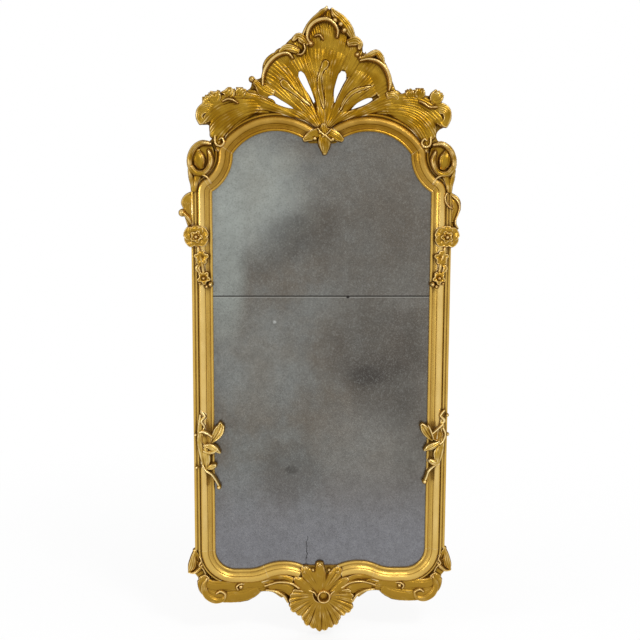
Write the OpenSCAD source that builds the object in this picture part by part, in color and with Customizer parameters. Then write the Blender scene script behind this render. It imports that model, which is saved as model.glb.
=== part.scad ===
// Carved giltwood pier mirror with two silvered plates, a pierced crest and a shell apron.
// It is drawn face on, with X to the right, Y up the glass and Z towards the viewer, and is then
// stood up against its wall. Height 0 is the joint of the two plates, and depths start at the wall.

/* [Opening] */
// Width of the glass between the sight edges
sight_w = 620; // [560:1:700]
// Height of the centre of the in-curved shoulder
bulge_z = 402; // [392:1:412]
// Radius of the in-curved shoulder
bulge_r = 124; // [112:1:136]
// How far the shoulder's centre lies outside the sight edge
bulge_out = 65; // [58:1:72]
// Distance of each arch's centre inside the sight edge of the stiles
arch_in = 180; // [172:1:186]
// Height of each arch's centre
arch_z = 319.5; // [314:0.5:325]
// Height of the flat bed at the cusp between the arches
cusp_z = 432.5; // [430:0.5:435]
// Depth of the lower end of the straight stiles below the plates' joint
foot_z = 754; // [740:1:770]
// Radius of the lower corners of the glass
foot_r = 60; // [56:1:64]

/* [Lower edge] */
// Distance from the middle to the end of the sway beside each lower corner
sway_x = 215; // [212:1:218]
// Radius of that sway
sway_r = 110; // [104:1:116]
// Distance from the middle to the crown of each rise of the lower edge
rise_x = 110; // [107:1:113]
// Radius of that rise
rise_r = 141; // [136:1:146]
// Half the width of the bed of the lower clasp
clasp_half = 50; // [47:1:53]

/* [Depths] */
// Thickness of the battens against the wall
batten_t = 12; // [11:0.5:14]
// Thickness of the boards that carry the carving
board_t = 16; // [14:0.5:17]
// Depth of the rebate, from the frame's back to the sight lip
rebate_d = 24; // [23:0.5:26]
// Thickness of the sight lip under its bead
lip_t = 6; // [5:0.5:7]
// Height of the nose of the moulding above the back of the sight lip
nose_rise = 16; // [14:0.5:18]
// Thickness of the beds under the two clasps, above the boards
bed_t = 14; // [12.5:0.5:15]

/* [Moulding] */
// Width of the bead on the sight edge
bead_w = 8; // [7:0.5:9]
// Width of the moulding up to the outer side of its nose
nose_w = 41; // [39:0.5:43]
// Radius of the round nose
nose_r = 11; // [10:0.5:12]
// Radius of the astragal beside the nose
astragal_r = 3.5; // [3:0.25:3.75]
// Radius of the torus on the outer edge of the stiles
torus_r = 5; // [4.5:0.25:5.25]
// Width of the rebate that holds the glass
rebate_w = 11; // [10:0.5:12]

/* [Glass and back] */
// Thickness of each glass plate
plate_t = 4; // [3:0.25:4.5]
// Width of glass behind the sight lip
glass_lap = 8; // [6:0.5:9]
// Gap between the plates at their joint
plate_gap = 0.6; // [0.4:0.1:1]
// Thickness of the backboards
backboard_t = 8; // [7:0.5:9]
// Gap between neighbouring backboards
backboard_gap = 1; // [0.6:0.1:2]
// Height of each full backboard
backboard_h = 323; // [315:1:330]
// Depth of the lowest joint of the backboards below the plates' joint
backboard_low = 493; // [485:1:500]
// Depth of the backboards behind the frame's back
backboard_sink = 3; // [2.5:0.25:3.5]

/* [Battens] */
// Width of the horizontal battens
batten_w = 60; // [50:1:70]
// Distance of the upper batten's centre below the upper corners
batten_drop = 52; // [50:1:72]
// Depth of the lower batten's centre
batten_low = 690; // [670:1:700]
// Width of the upright crest braces
brace_w = 30; // [26:1:32]

/* [Hanging gear] */
// Height of the rolled eyes of the hangers
hanger_z = 150; // [140:1:156]
// Width of the hanger straps
strap_w = 26; // [24:0.5:30]
// Length of the hanger straps
strap_l = 86; // [80:1:92]
// Thickness of the hanger straps
strap_t = 2.5; // [2:0.25:3]
// Diameter of the ring wire
wire_d = 4; // [3.5:0.25:4.25]
// Running clearance of the ring's bar in the rolled eye, on the radius
eye_gap = 0.08; // [0.05:0.01:0.1]
// Inside width of the ring
ring_w = 34; // [33:0.5:38]
// Length of the ring from its bar
ring_l = 36; // [34:0.5:38]

/* [Fixings] */
// Shank diameter of the wood screws
screw_d = 4; // [3.5:0.25:4.5]
// Length of the screws that hold the battens to the stiles
screw_l = 32; // [28:1:34]
// Length of the screws that hold the braces to the boards
short_screw_l = 24; // [20:1:25]
// Diameter of the wooden dowels
dowel_d = 8; // [7:0.5:9]
// Diameter of the sprigs that keep the backboards in
sprig_d = 1.8; // [1.4:0.1:2]
// Clearance of dowels, screws and sprigs in their holes, on the radius
hole_gap = 0.05; // [0.03:0.01:0.1]
// Glue line between the carving and the curved mouldings
glue_gap = 0.1; // [0.05:0.05:0.2]
// How far the boards stand back inside the carving's outline
board_inset = 5; // [4:0.5:6]

/* [Hidden] */
$fn = 32;
half = sight_w / 2;
cusp_r = 14;                           // radius that eases each arch into the cusp's bed
arc_step = 8;                          // degrees between the points of a drawn arc
long_span = 17;                        // a stroke's points further apart than this get one between
closing = 16;                          // radius up to which a board fills the gaps of its carving
overlap = 0.4;                         // how far a cutter reaches past its ends, in degrees or mm
sink = 1;                              // how far a carving used as a cutter reaches below its seat
far = 2000;                            // reach of a cut that runs past everything

back = batten_t;
board_front = back + board_t;
lip_back = back + rebate_d;
lip_front = lip_back + lip_t;
nose_top = lip_back + nose_rise;
bed_front = board_front + bed_t;
glass_back = lip_back - plate_t;
outer_w = nose_w + 1.5 + 2 * astragal_r + 0.5;     // width of the moulding without the torus
stile_w = outer_w + 2 * torus_r + 0.5;

bulge_c = [half + bulge_out, bulge_z];
waist = bulge_c - [bulge_r, 0];
arch_x = half - arch_in;
arch_c = [arch_x, arch_z];
arch_r = norm(waist - arch_c);
arch_a = atan2(waist.y - arch_c.y, waist.x - arch_c.x);
arch_top = arch_z + arch_r;
cusp_y = cusp_z + cusp_r;
cusp_c = [arch_x - sqrt(pow(arch_r + cusp_r, 2) - pow(cusp_y - arch_z, 2)), cusp_y];
cusp_a = atan2(cusp_c.y - arch_c.y, cusp_c.x - arch_c.x);
bulge_turn = acos(bulge_out / bulge_r);
corner = bulge_c - bulge_r * [cos(bulge_turn), sin(bulge_turn)];
foot_c = [half - foot_r, -foot_z];
sway_c = [sway_x, -foot_z - foot_r + sway_r];
rise_c = [rise_x, sway_c.y - sqrt(pow(sway_r + rise_r, 2) - pow(sway_x - rise_x, 2))];
sway_a = atan2(rise_c.y - sway_c.y, rise_c.x - sway_c.x);
clasp_a = -acos((rise_x - clasp_half) / rise_r);
clasp_p = rise_c - rise_r * [cos(clasp_a), sin(clasp_a)];

// The right half of the sight edge, from the cusp clockwise to the middle of the lower edge: centre,
// radius (negative where the centre lies in the wood) and the outward direction at both ends
SIGHT = [
    [cusp_c, -cusp_r, 90, cusp_a],
    [arch_c, arch_r, cusp_a, arch_a],
    [waist, 0, arch_a, 0],
    [bulge_c, -bulge_r, 0, bulge_turn],
    [corner, 0, bulge_turn, 0],
    [foot_c, foot_r, 0, -90],
    [sway_c, sway_r, -90, sway_a],
    [rise_c, -rise_r, sway_a, clasp_a],
    [clasp_p, 0, clasp_a, -90],
];
ARCH = [1];
SHOULDER = [2, 3];
CORNER = [4];                          // the turn about the upper corner, above the straight stile
SWAY = [5, 6];
RISE = [7];

// The strokes of the carving were laid out on a drawing of the frame with these places: the sight
// edge of the stile, the top of the arches, the upper corner, the foot and the lower clasp
drawn = [310, 465.95, 296.4, -754, -804.4];
spread = half / drawn[0];              // the carved head and foot widen with the frame

// Fixings
strap_screws = [14, 40, 66];           // distance of the strap's screws below its eye
eye_r = wire_d / 2 + eye_gap;
eye_outer = eye_r + strap_t;
eye_depth = back - eye_outer;
hanger_x = half + 36;
batten_rows = [corner.y - batten_drop, 0, -batten_low];
batten_end = half + stile_w - 8;
batten_screw_x = [half + 24, half + 44];
batten_screw_dz = 14;
dowel_depth = back + board_t / 2;
dowel_l = 60;
dowel_x = [half + 24, half + 44];
crest_split = arch_top + 54;
crest_half = 205;
crest_dowel_x = [60, 145];
crest_dowel_l = 28;
side_brace_x = 172;
braces = [[4, 456, 270], [side_brace_x, 480, 108]];     // x, foot and length of the crest braces
brace_screws = [[4, [472, 506, 560, 640, 712]], [side_brace_x, [500, 542, 575]]];
sprig_rows = [-740, -560, -430, -230, -110, 90, 190];
sprig_l = 16;
block_rows = [-700, -470, -240, -40, 180];
screw_sink = 0.3;

gold = "goldenrod";
pine = "burlywood";
iron = "dimgray";

// ---- Points along the sight edge and the profiles ----

function turned(a, r = 1) = r * [cos(a), sin(a)];
function arc_pts(c, r, a0, a1, g) =
    let (n = max(1, ceil(abs(a1 - a0) / arc_step)))
    [for (i = [0:n]) let (a = a0 + (a1 - a0) * i / n) c + turned(a, r + g)];
function half_edge(g) = [for (s = SIGHT) each arc_pts(s[0], s[1], s[2], s[3], g)];
function flip(p) = [for (i = [len(p) - 1:-1:0]) [-p[i].x, p[i].y]];
function sight_edge(g) = concat(half_edge(g), flip(half_edge(g)));

function round_pts(c, r, a0, a1, n) = [for (i = [0:n]) c + turned(a0 + (a1 - a0) * i / n, r)];
function in_microns(pts) = [for (p = pts) [round(1000 * p.x) / 1000, round(1000 * p.y) / 1000]];
// Section of the moulding: distance outward from the sight edge, and depth from the wall
function profile(low, torus) = in_microns(concat(
    [[0, lip_back], [0, lip_front]],
    round_pts([bead_w / 2 + 0.3, lip_front], bead_w / 2, 180, 0, 6),
    [[bead_w + 0.6, lip_front - 1.6], [bead_w + 3.5, lip_front - 1.8], [bead_w + 7, lip_front - 0.4]],
    round_pts([nose_w - nose_r, nose_top - nose_r], nose_r, 158, 0, 9),
    [[nose_w, lip_front - 4.5], [nose_w + 1.5, lip_front - 4.5]],
    round_pts([nose_w + 1.5 + astragal_r, lip_front - 3.5], astragal_r, 180, 0, 5),
    torus ? concat([[outer_w - 0.5, lip_back], [outer_w, lip_back]],
        round_pts([outer_w + 0.5 + torus_r, lip_back - 3], torus_r, 140, 0, 5),
        [[stile_w, low]]) : [[outer_w - 0.5, low]],
    [[rebate_w, low], [rebate_w, lip_back]]));

// One piece of the sight edge's moulding, with the straight run that follows it. A piece used as a
// cutter reaches a little past its ends, so that it leaves nothing standing at a joint
module sweep(i, pts, over = 0, $fn = 96) {
    s = SIGHT[i];
    start = abs(s[2] % 90) < abs(s[3] % 90) ? s[2] : s[3];          // the end that stands square
    turn = s[2] + s[3] - 2 * start;
    translate(s[0]) rotate(start - sign(turn) * over + (s[1] < 0 ? 180 : 0))
        rotate_extrude(angle = turn + sign(turn) * 2 * over) polygon([for (p = pts) [abs(s[1] + p.x), p.y]]);
    if (i != CORNER[0] && i < len(SIGHT) - 1 && SIGHT[i + 1][2] == s[3]) {
        from = s[0] + turned(s[3], s[1]);
        run = norm(SIGHT[i + 1][0] + turned(s[3], SIGHT[i + 1][1]) - from);
        if (run > 0.01) translate(from) rotate(s[3]) rotate([90, 0, 0])
            translate([0, 0, -over]) linear_extrude(run + 2 * over) polygon(pts);
    }
}
module slab(low, high) translate([0, 0, low]) linear_extrude(high - low) children();
module sides() { children(); mirror([1, 0]) children(); }

// ---- Carving ----

// A stroke of the gouge is a list of [x, y, half width, height], eased through its points
function ease(a, b, c, d, t) = 0.5 * (2 * b + (c - a) * t + (2 * a - 5 * b + 4 * c - d) * t * t
    + (3 * b - a - 3 * c + d) * t * t * t);
function eased(p) = let (m = len(p) - 1) [
    for (i = [0:m - 1]) let (k = norm([p[i + 1].x - p[i].x, p[i + 1].y - p[i].y]) > long_span ? 2 : 1)
        for (j = [0:k - 1]) ease(p[max(i - 1, 0)], p[i], p[i + 1], p[min(i + 2, m)], j / k), p[m]];
function widest(p) = max([for (q = p) q[2]]);
function normal_at(q, i) = let (a = q[max(i - 1, 0)], b = q[min(i + 1, len(q) - 1)],
    l = norm([b.x - a.x, b.y - a.y])) [-(b.y - a.y) / l, (b.x - a.x) / l];
function edge_at(q, i, t) = [q[i].x, q[i].y] + normal_at(q, i) * max(q[i][2], 0.6) * t;
// Height across a stroke, from 0 to 1: a roll, a hollow between two rims, or flutes cut in either
function relief(t, flutes, hollow) =
    (0.42 + 0.58 * ((1 - hollow) * sqrt(max(0, 1 - t * t)) + hollow * t * t))
    * (flutes == 0 ? 1 : 0.86 + 0.14 * cos(360 * flutes * (t + 1) / 2));

module stroke(p, flutes, hollow, seat, sink) {
    q = eased(p);
    n = len(q);
    m = flutes > 0 ? 2 * flutes + 1 : widest(p) > 12 ? 5 : widest(p) > 5 ? 4 : 3;
    w = m + 2;
    pts = [for (i = [0:n - 1]) each concat(
        [for (j = [0:m - 1]) let (t = 2 * j / (m - 1) - 1)
            concat(edge_at(q, i, t), seat + max(q[i][3], 1) * relief(t, flutes, hollow))],
        [concat(edge_at(q, i, -1), seat - sink), concat(edge_at(q, i, 1), seat - sink)])];
    faces = concat(
        [for (i = [0:n - 2]) for (j = [0:m - 2]) each let (a = i * w + j)
            [[a, a + 1, a + w + 1], [a, a + w + 1, a + w]]],
        [for (i = [0:n - 2]) each let (a = i * w, b = a + w, r = a + m, l = a + m + 1)
            [[a, b, b + m], [a, b + m, r], [b + m - 1, a + m - 1, l], [b + m - 1, l, l + w],
             [r, r + w, l + w], [r, l + w, l]]],
        [concat([for (j = [m - 1:-1:0]) j], [m, m + 1])],
        [let (e = (n - 1) * w) concat([for (j = [0:m - 1]) e + j], [e + m + 1, e + m])]);
    polyhedron(pts, faces);
}
// A boss: [x, y, radius, height, petals], domed, and notched between its petals
module boss(d, seat, sink = 0) {
    petals = len(d) > 4 ? d[4] : 0;
    n = petals == 0 ? 10 : 4 * petals;
    function rim(i) = petals == 0 ? 1 : 0.88 + 0.12 * cos(360 * petals * i / n);
    rings = [[1, -sink / d[3]], [1, 0.4], [0.72, 0.8]];
    pts = concat([for (r = rings) for (i = [0:n - 1])
            concat([d.x, d.y] + turned(360 * i / n, d[2] * r[0] * rim(i)), seat + d[3] * r[1])],
        [[d.x, d.y, seat + d[3] * (petals == 0 ? 1 : 0.74)]]);
    polyhedron(pts, concat([[for (i = [0:n - 1]) i]],
        [for (r = [0:1]) for (i = [0:n - 1]) each
            let (a = r * n + i, b = r * n + (i + 1) % n) [[a, a + n, b + n], [a, b + n, b]]],
        [for (i = [0:n - 1]) [2 * n + i, 3 * n, 2 * n + (i + 1) % n]]));
}
// A fan of ribs about a hub, whose reach follows a table of angles
module fan(c, r0, reach, ribs, h0, h1, seat, sink, rows = 3) {
    a0 = reach[0][0];
    a1 = reach[len(reach) - 1][0];
    n = 2 * ribs;
    w = n + 1;
    function rib(j) = j % 2 == 0 ? 0.84 : 1;
    top = [for (i = [0:rows]) for (j = [0:n]) let (a = a0 + (a1 - a0) * j / n, f = i / rows,
            r = r0 + (lookup(a, reach) * (j % 2 == 0 ? 0.97 : 1) - r0) * f)
        concat(c + turned(a, r), seat + (h0 + (h1 - h0) * f - 5 * sin(180 * f)) * (1 + (rib(j) - 1) * f))];
    floor_pts = [for (p = top) [p.x, p.y, seat - sink]];
    base = len(top);
    polyhedron(concat(top, floor_pts), concat(
        [for (i = [0:rows - 1]) for (j = [0:n - 1]) each let (a = i * w + j)
            [[a, a + 1, a + w + 1], [a, a + w + 1, a + w]]],
        [for (i = [0:rows - 1]) for (j = [0:n - 1]) each let (a = base + i * w + j)
            [[a, a + w, a + w + 1], [a, a + w + 1, a + 1]]],
        [for (j = [0:n - 1]) each let (a = j, b = base + j) [[a + 1, a, b], [a + 1, b, b + 1]]],
        [for (j = [0:n - 1]) each let (a = rows * w + j, b = base + a)
            [[a, a + 1, b + 1], [a, b + 1, b]]],
        [for (i = [0:rows - 1]) each let (a = i * w, b = base + a)
            [[a, a + w, b + w], [a, b + w, b]]],
        [for (i = [0:rows - 1]) each let (a = i * w + n, b = base + a)
            [[a + w, a, b], [a + w, b, b + w]]]));
}
function outline(p) = let (q = eased(p), n = len(q)) concat(
    [for (i = [0:n - 1]) edge_at(q, i, 1)], [for (i = [n - 1:-1:0]) edge_at(q, i, -1)]);
// A carving is a list of strokes [flutes, hollow, points] and a list of bosses
module carve(work, seat, sink = 0) {
    for (s = work[0]) stroke(s[2], s[0], s[1], seat, sink);
    for (b = work[1]) boss(b, seat, sink);
}
module shape(work) {
    for (s = work[0]) fill() polygon(outline(s[2]));
    for (b = work[1]) translate([b.x, b.y]) circle(b[2]);
}
// The strokes of one carving are fused into one skin, at the size they were drawn
module fused() resize([0, 0, 0]) union() children();

PALMETTE = [[
    [3, 0, [[3, 474, 13, 24], [5, 512, 22, 20], [6, 545, 28, 18], [1, 580, 34, 18], [-1, 620, 52, 20],
        [2, 658, 74, 23], [4, 690, 80, 24]]],
    [3, 0, [[-12, 484, 10, 24], [-30, 510, 18, 20], [-53, 540, 27, 18], [-83, 571, 38, 18],
        [-120, 608, 56, 20]]],
    [2, 0, [[-14, 480, 9, 22], [-45, 504, 13, 20], [-85, 516, 14, 18], [-125, 529, 16, 17],
        [-166, 545, 23, 17], [-196, 556, 26, 17]]],
    [4, 0, [[14, 484, 10, 24], [34, 510, 17, 20], [58, 541, 25, 18], [86, 573, 37, 18],
        [124, 610, 58, 20]]],
    [2, 0, [[16, 480, 9, 22], [48, 502, 13, 20], [88, 514, 14, 18], [128, 527, 16, 17],
        [168, 544, 23, 17], [200, 556, 26, 17]]],
    [0, 0, [[12, 545, 4, 24], [2, 580, 5, 26], [-8, 620, 5, 28], [-4, 650, 6, 31], [9, 662, 6, 33],
        [19, 652, 5, 31], [14, 641, 4, 28]]],
    [0, 0, [[-28, 528, 4, 24], [-60, 560, 5, 26], [-92, 592, 6, 29], [-112, 600, 6, 31],
        [-119, 590, 5, 30], [-111, 580, 4, 28]]],
    [0, 0, [[60, 552, 4, 25], [95, 583, 5, 27], [126, 600, 6, 30], [140, 592, 6, 30], [145, 573, 3, 27]]],
], []];
SLOTS = [
    [[-63, 628, 4, 1], [-59, 619, 9, 1], [-48, 596, 8.5, 1], [-36, 574, 6, 1], [-22, 548, 1, 1]],
    [[-149, 558, 4, 1], [-140, 556, 8, 1], [-120, 545, 7.5, 1], [-100, 536, 5, 1], [-83, 529, 1, 1]],
    [[57, 630, 6, 1], [55, 620, 11, 1], [46, 598, 9.5, 1], [38, 574, 6.5, 1], [34, 547, 1.5, 1]],
    [[138, 556, 3, 1], [130, 553, 6, 1], [114, 546, 7, 1], [98, 538, 5.5, 1], [84, 529, 1.5, 1]],
];
TOP_SCROLL = [[
    [0, 0.3, [[6, 676, 74, 18], [9, 708, 66, 21], [10, 738, 54, 22], [6, 766, 36, 22], [6, 780, 22, 22]]],
    [0, 0, [[-33, 702, 6, 34], [-44, 720, 8, 38], [-38, 746, 9, 41], [-19, 764, 9, 43], [7, 770, 9, 43],
        [28, 760, 8, 42], [40, 740, 7, 40], [38, 722, 5, 36]]],
    [0, 0, [[-56, 728, 6, 24], [-38, 756, 10, 26], [-15, 778, 12, 28], [5, 795, 10, 30], [10, 806, 2, 28]]],
    [2, 0, [[84, 720, 8, 26], [70, 745, 14, 31], [52, 767, 15, 33], [32, 785, 12, 31], [25, 797, 6, 28]]],
    [0, 0, [[-24, 724, 4, 30], [-10, 728, 5, 33], [0, 716, 4, 30]]],
], [[-34, 704, 8, 38], [32, 766, 9, 40], [48, 757, 9, 39], [58, 741, 9, 37]]];
LEFT_CREST = [[
    [0, 0.5, [[-104, 606, 42, 14], [-126, 638, 42, 18], [-112, 668, 26, 20]]],
    [0, 0, [[-167, 592, 6, 26], [-165, 618, 7, 31], [-155, 643, 8, 34], [-137, 664, 8, 35],
        [-114, 677, 8, 35], [-95, 677, 7, 33], [-84, 665, 5, 30]]],
    [2, 0, [[-140, 566, 16, 18], [-164, 577, 20, 20], [-182, 594, 11, 23], [-196, 606, 7, 24]]],
    [0, 0, [[-65, 639, 31, 17], [-82, 675, 33, 18], [-66, 708, 24, 18]]],
    [2, 0, [[-44, 704, 9, 27], [-56, 716, 15, 31], [-70, 723, 11, 30], [-81, 714, 6, 27]]],
    [2, 0, [[-68, 684, 10, 28], [-88, 691, 13, 32], [-104, 691, 11, 32], [-118, 683, 6, 30]]],
    [0, 0, [[-54, 704, 4, 33], [-50, 690, 5, 35], [-58, 676, 5, 35], [-71, 675, 4, 32]]],
], [[-197, 607, 9, 30]]];
RIGHT_CREST = [[
    [0, 0.5, [[107, 606, 42, 14], [137, 633, 43, 16], [160, 606, 32, 16], [180, 572, 26, 17]]],
    [0, 0, [[104, 660, 5, 28], [126, 664, 7, 33], [150, 659, 8, 35], [170, 644, 9, 36], [183, 620, 9, 35],
        [187, 598, 8, 33], [185, 580, 5, 29]]],
    [2, 0, [[108, 666, 7, 26], [128, 673, 9, 29], [148, 681, 10, 31], [161, 668, 10, 31],
        [168, 654, 5, 28]]],
    [0, 0, [[114, 668, 5, 26], [119, 684, 1, 24]]],
    [0, 0, [[66, 640, 30, 17], [84, 678, 28, 18], [96, 704, 16, 18]]],
    [2, 0, [[70, 708, 11, 27], [88, 712, 15, 33], [101, 704, 10, 35], [100, 692, 6, 32]]],
    [1, 0, [[182, 566, 12, 22], [196, 568, 11, 22], [210, 558, 8, 20]]],
], [[95, 676, 7, 30], [103, 668, 5, 28]]];
LEFT_PLUME = [[
    [2, 0, [[-186, 546, 22, 18], [-222, 550, 27, 21], [-258, 545, 30, 23], [-288, 528, 27, 24],
        [-312, 508, 18, 25], [-332, 492, 10, 26]]],
    [2, 0, [[-190, 530, 16, 17], [-226, 515, 23, 19], [-256, 493, 22, 21], [-278, 468, 19, 22],
        [-290, 440, 14, 23], [-290, 414, 8, 24]]],
    [0, 0, [[-270, 536, 13, 27], [-290, 508, 15, 29], [-297, 480, 12, 27], [-302, 456, 9, 25],
        [-308, 436, 8, 22]]],
    [0, 0, [[-274, 528, 3, 33], [-266, 545, 4, 36], [-250, 550, 4, 37], [-236, 542, 3, 34]]],
], [[-232, 566, 17, 27, 4], [-261, 563, 18, 29, 4], [-298, 553, 19, 30, 4], [-318, 544, 16, 29, 4],
    [-334, 515, 13, 30], [-333, 488, 11, 30], [-288, 414, 10, 27]]];
RIGHT_PLUME = [[
    [2, 0, [[194, 543, 22, 18], [224, 545, 27, 21], [262, 542, 30, 23], [294, 528, 28, 24],
        [320, 508, 20, 25], [337, 488, 11, 26]]],
    [2, 0, [[194, 526, 16, 17], [227, 512, 23, 19], [257, 490, 22, 21], [279, 465, 19, 22],
        [291, 438, 14, 23], [292, 414, 8, 24]]],
    [0, 0, [[272, 538, 13, 27], [294, 508, 15, 29], [302, 478, 12, 27], [306, 455, 9, 25],
        [312, 436, 8, 22]]],
    [0, 0, [[270, 548, 3, 33], [284, 540, 4, 36], [296, 528, 4, 36], [318, 528, 4, 37], [332, 524, 3, 34]]],
], [[246, 564, 16, 27, 4], [271, 566, 18, 29, 4], [315, 556, 20, 31, 5], [344, 521, 14, 30],
    [336, 482, 12, 30], [292, 412, 10, 27]]];
EAR = [[
    [0, 0.6, [[330, 422, 26, 12], [334, 388, 37, 10], [334, 352, 28, 12]]],
    [0, 0, [[313, 430, 6, 24], [338, 432, 8, 28], [360, 416, 9, 30], [371, 388, 9, 31], [368, 361, 8, 30],
        [352, 346, 7, 28], [330, 349, 6, 27], [315, 366, 6, 28], [310, 388, 6, 27], [317, 408, 4, 25]]],
    [0, 0, [[357, 350, 4, 25], [338, 345, 5, 27], [322, 336, 5, 27], [314, 322, 3, 25]]],
    [0, 0, [[371, 358, 7, 26], [368, 335, 8, 24], [364, 314, 7, 22], [363, 286, 6, 20]]],
    [0, 0, [[346, 352, 14, 22], [354, 328, 10, 22], [358, 305, 8, 22], [360, 286, 6, 20]]],
], [[346, 388, 15, 21]]];
LEFT_SPUR = [[
    [0, 0.2, [[364, 293, 6, 16], [373, 278, 12, 21], [378, 260, 15, 24], [378, 242, 15, 24],
        [376, 222, 12, 22], [374, 203, 8, 19]]],
    [0, 0, [[368, 286, 3, 25], [380, 268, 5, 30], [386, 250, 5, 30], [380, 230, 4, 28], [374, 210, 4, 25]]],
    [0, 0, [[363, 276, 4, 27], [367, 250, 5, 29], [366, 226, 5, 27], [370, 206, 3, 24]]],
], [[395, 237, 11, 31]]];
RIGHT_SPUR = [[
    [0, 0.4, [[363, 293, 6, 16], [372, 280, 11, 20], [379, 264, 14, 22], [379, 246, 14, 22],
        [375, 228, 12, 19], [375, 210, 10, 17], [381, 196, 8, 18]]],
    [0, 0, [[368, 288, 3, 25], [384, 274, 5, 30], [391, 256, 5, 31], [387, 236, 4, 30], [381, 219, 4, 28],
        [381, 205, 5, 28], [389, 194, 3, 26]]],
    [0, 0, [[353, 295, 4, 37], [348, 284, 5, 40], [350, 270, 5, 40], [359, 258, 5, 34], [370, 252, 4, 28]]],
], []];
ROSE = [[[0, 0, [[352, 196, 8, 34], [352, 184, 24, 36], [352, 170, 29, 37], [352, 156, 24, 36],
    [352, 145, 8, 34]]]], [[378, 172, 18, 44, 3], [370, 190, 16, 44, 3], [352, 193, 15, 44, 3],
    [334, 188, 16, 45, 3], [326, 172, 15, 45, 3], [329, 155, 15, 45, 3], [346, 150, 15, 45, 3],
    [368, 152, 17, 44, 3], [352, 172, 14, 54, 5]]];
BELLFLOWERS = [[
    [0, 0, [[350, 140, 6, 30], [347, 122, 9, 32], [341, 100, 8, 32], [338, 80, 7, 31], [335, 62, 8, 32]]],
    [1, 0, [[338, 70, 8, 32], [334, 56, 15, 36], [325, 45, 11, 36], [318, 36, 6, 35], [312, 29, 2, 32]]],
    [1, 0, [[341, 79, 8, 33], [344, 65, 9, 37], [341, 51, 5, 34]]],
], [[346, 122, 14, 36, 3], [330, 112, 13, 35.5, 3], [353, 106, 12, 36, 3], [337, 98, 14, 38, 3],
    [341, 84, 10, 36.5, 3], [334, 58, 14, 39.5, 4], [321, 46, 11, 38.5, 3], [315, 40, 8, 36.5, 3]]];
LEFT_SIDE_LEAF = [[
    [0, 0, [[349, -384, 5, 15], [350, -405, 8, 17], [351, -430, 9, 18], [349, -455, 9, 17],
        [344, -480, 8, 17], [337, -515, 6, 16]]],
    [0, 1, [[303, -434, 6, 15], [301, -420, 13, 18], [300, -405, 17, 20], [300, -390, 13, 19],
        [302, -378, 5, 16]]],
    [0, 0, [[298, -376, 4, 18], [304, -369, 4, 19], [313, -371, 4, 19], [322, -383, 5, 20],
        [330, -398, 6, 21], [336, -410, 6, 20]]],
    [0, 0.75, [[333, -400, 10, 20], [335, -418, 20, 24], [337, -436, 10, 20]]],
    [0, 0, [[352, -441, 6, 17], [334, -450, 7, 20], [316, -456, 8, 21], [301, -460, 6, 19],
        [291, -461, 1.5, 16]]],
    [0, 0, [[339, -466, 6, 17], [338, -486, 11, 21], [338, -502, 5, 17]]],
    [0, 0, [[337, -509, 5, 16], [323, -505, 8, 20], [311, -500, 2, 17]]],
    [0, 0, [[350, -500, 4, 16], [336, -517, 5, 19], [318, -526, 5, 19], [309, -541, 4, 18],
        [303, -564, 4, 17]]],
    [0, 0, [[350, -330, 4, 15], [352, -346, 7, 17], [350, -365, 8, 18], [348, -386, 6, 17]]],
    [0, 0, [[356, -410, 4, 14], [366, -425, 6, 15], [357, -440, 4, 14]]],
    [0, 0, [[350, -490, 4, 14], [364, -505, 6, 15], [349, -518, 4, 14]]],
], [[302, -565, 7, 19], [335, -424, 7, 17]]];
RIGHT_SIDE_LEAF = [[
    [0, 0, [[350, -380, 5, 15], [352, -405, 8, 17], [353, -430, 8, 18], [351, -455, 8, 17],
        [345, -480, 8, 17], [336, -512, 6, 16]]],
    [0, 1, [[301, -372, 5, 16], [300, -388, 9, 19], [302, -404, 11, 20], [307, -422, 11, 20],
        [313, -438, 8, 18], [318, -450, 5, 17]]],
    [0, 0.75, [[341, -386, 10, 20], [343, -405, 19, 24], [345, -424, 10, 20]]],
    [0, 0, [[322, -408, 4, 21], [330, -388, 5, 24], [346, -381, 5, 24], [360, -392, 5, 24],
        [363, -412, 5, 23], [358, -440, 5, 21], [353, -470, 4, 18]]],
    [0, 0, [[303, -373, 4, 17], [312, -379, 4, 19], [324, -393, 4, 20]]],
    [0, 0, [[352, -444, 6, 17], [336, -452, 7, 20], [320, -450, 7, 21], [308, -456, 3, 18]]],
    [0, 0, [[345, -478, 6, 17], [333, -489, 10, 21], [321, -492, 6, 19]]],
    [0, 0, [[344, -500, 4, 16], [333, -515, 5, 19], [323, -530, 5, 19], [316, -545, 4, 18]]],
    [0, 0, [[335, -332, 3, 14], [342, -345, 6, 17], [351, -362, 8, 18], [354, -384, 6, 17]]],
], [[316, -447, 7, 23], [366, -405, 8, 18], [314, -548, 8, 20], [326, -491, 7, 23]]];
CORNER_LEAF = [[
    [0, 0.2, [[360, -760, 12, 16], [366, -785, 15, 18], [370, -808, 16, 19], [358, -828, 14, 20],
        [346, -848, 12, 19], [336, -868, 11, 18]]],
    [1, 0, [[368, -757, 6, 20], [374, -778, 10, 25], [378, -800, 13, 28], [384, -815, 10, 26],
        [391, -826, 2, 20]]],
    [0, 0, [[350, -800, 6, 28], [360, -815, 8, 31], [374, -824, 6, 29], [388, -825, 3, 24]]],
], []];
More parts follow.
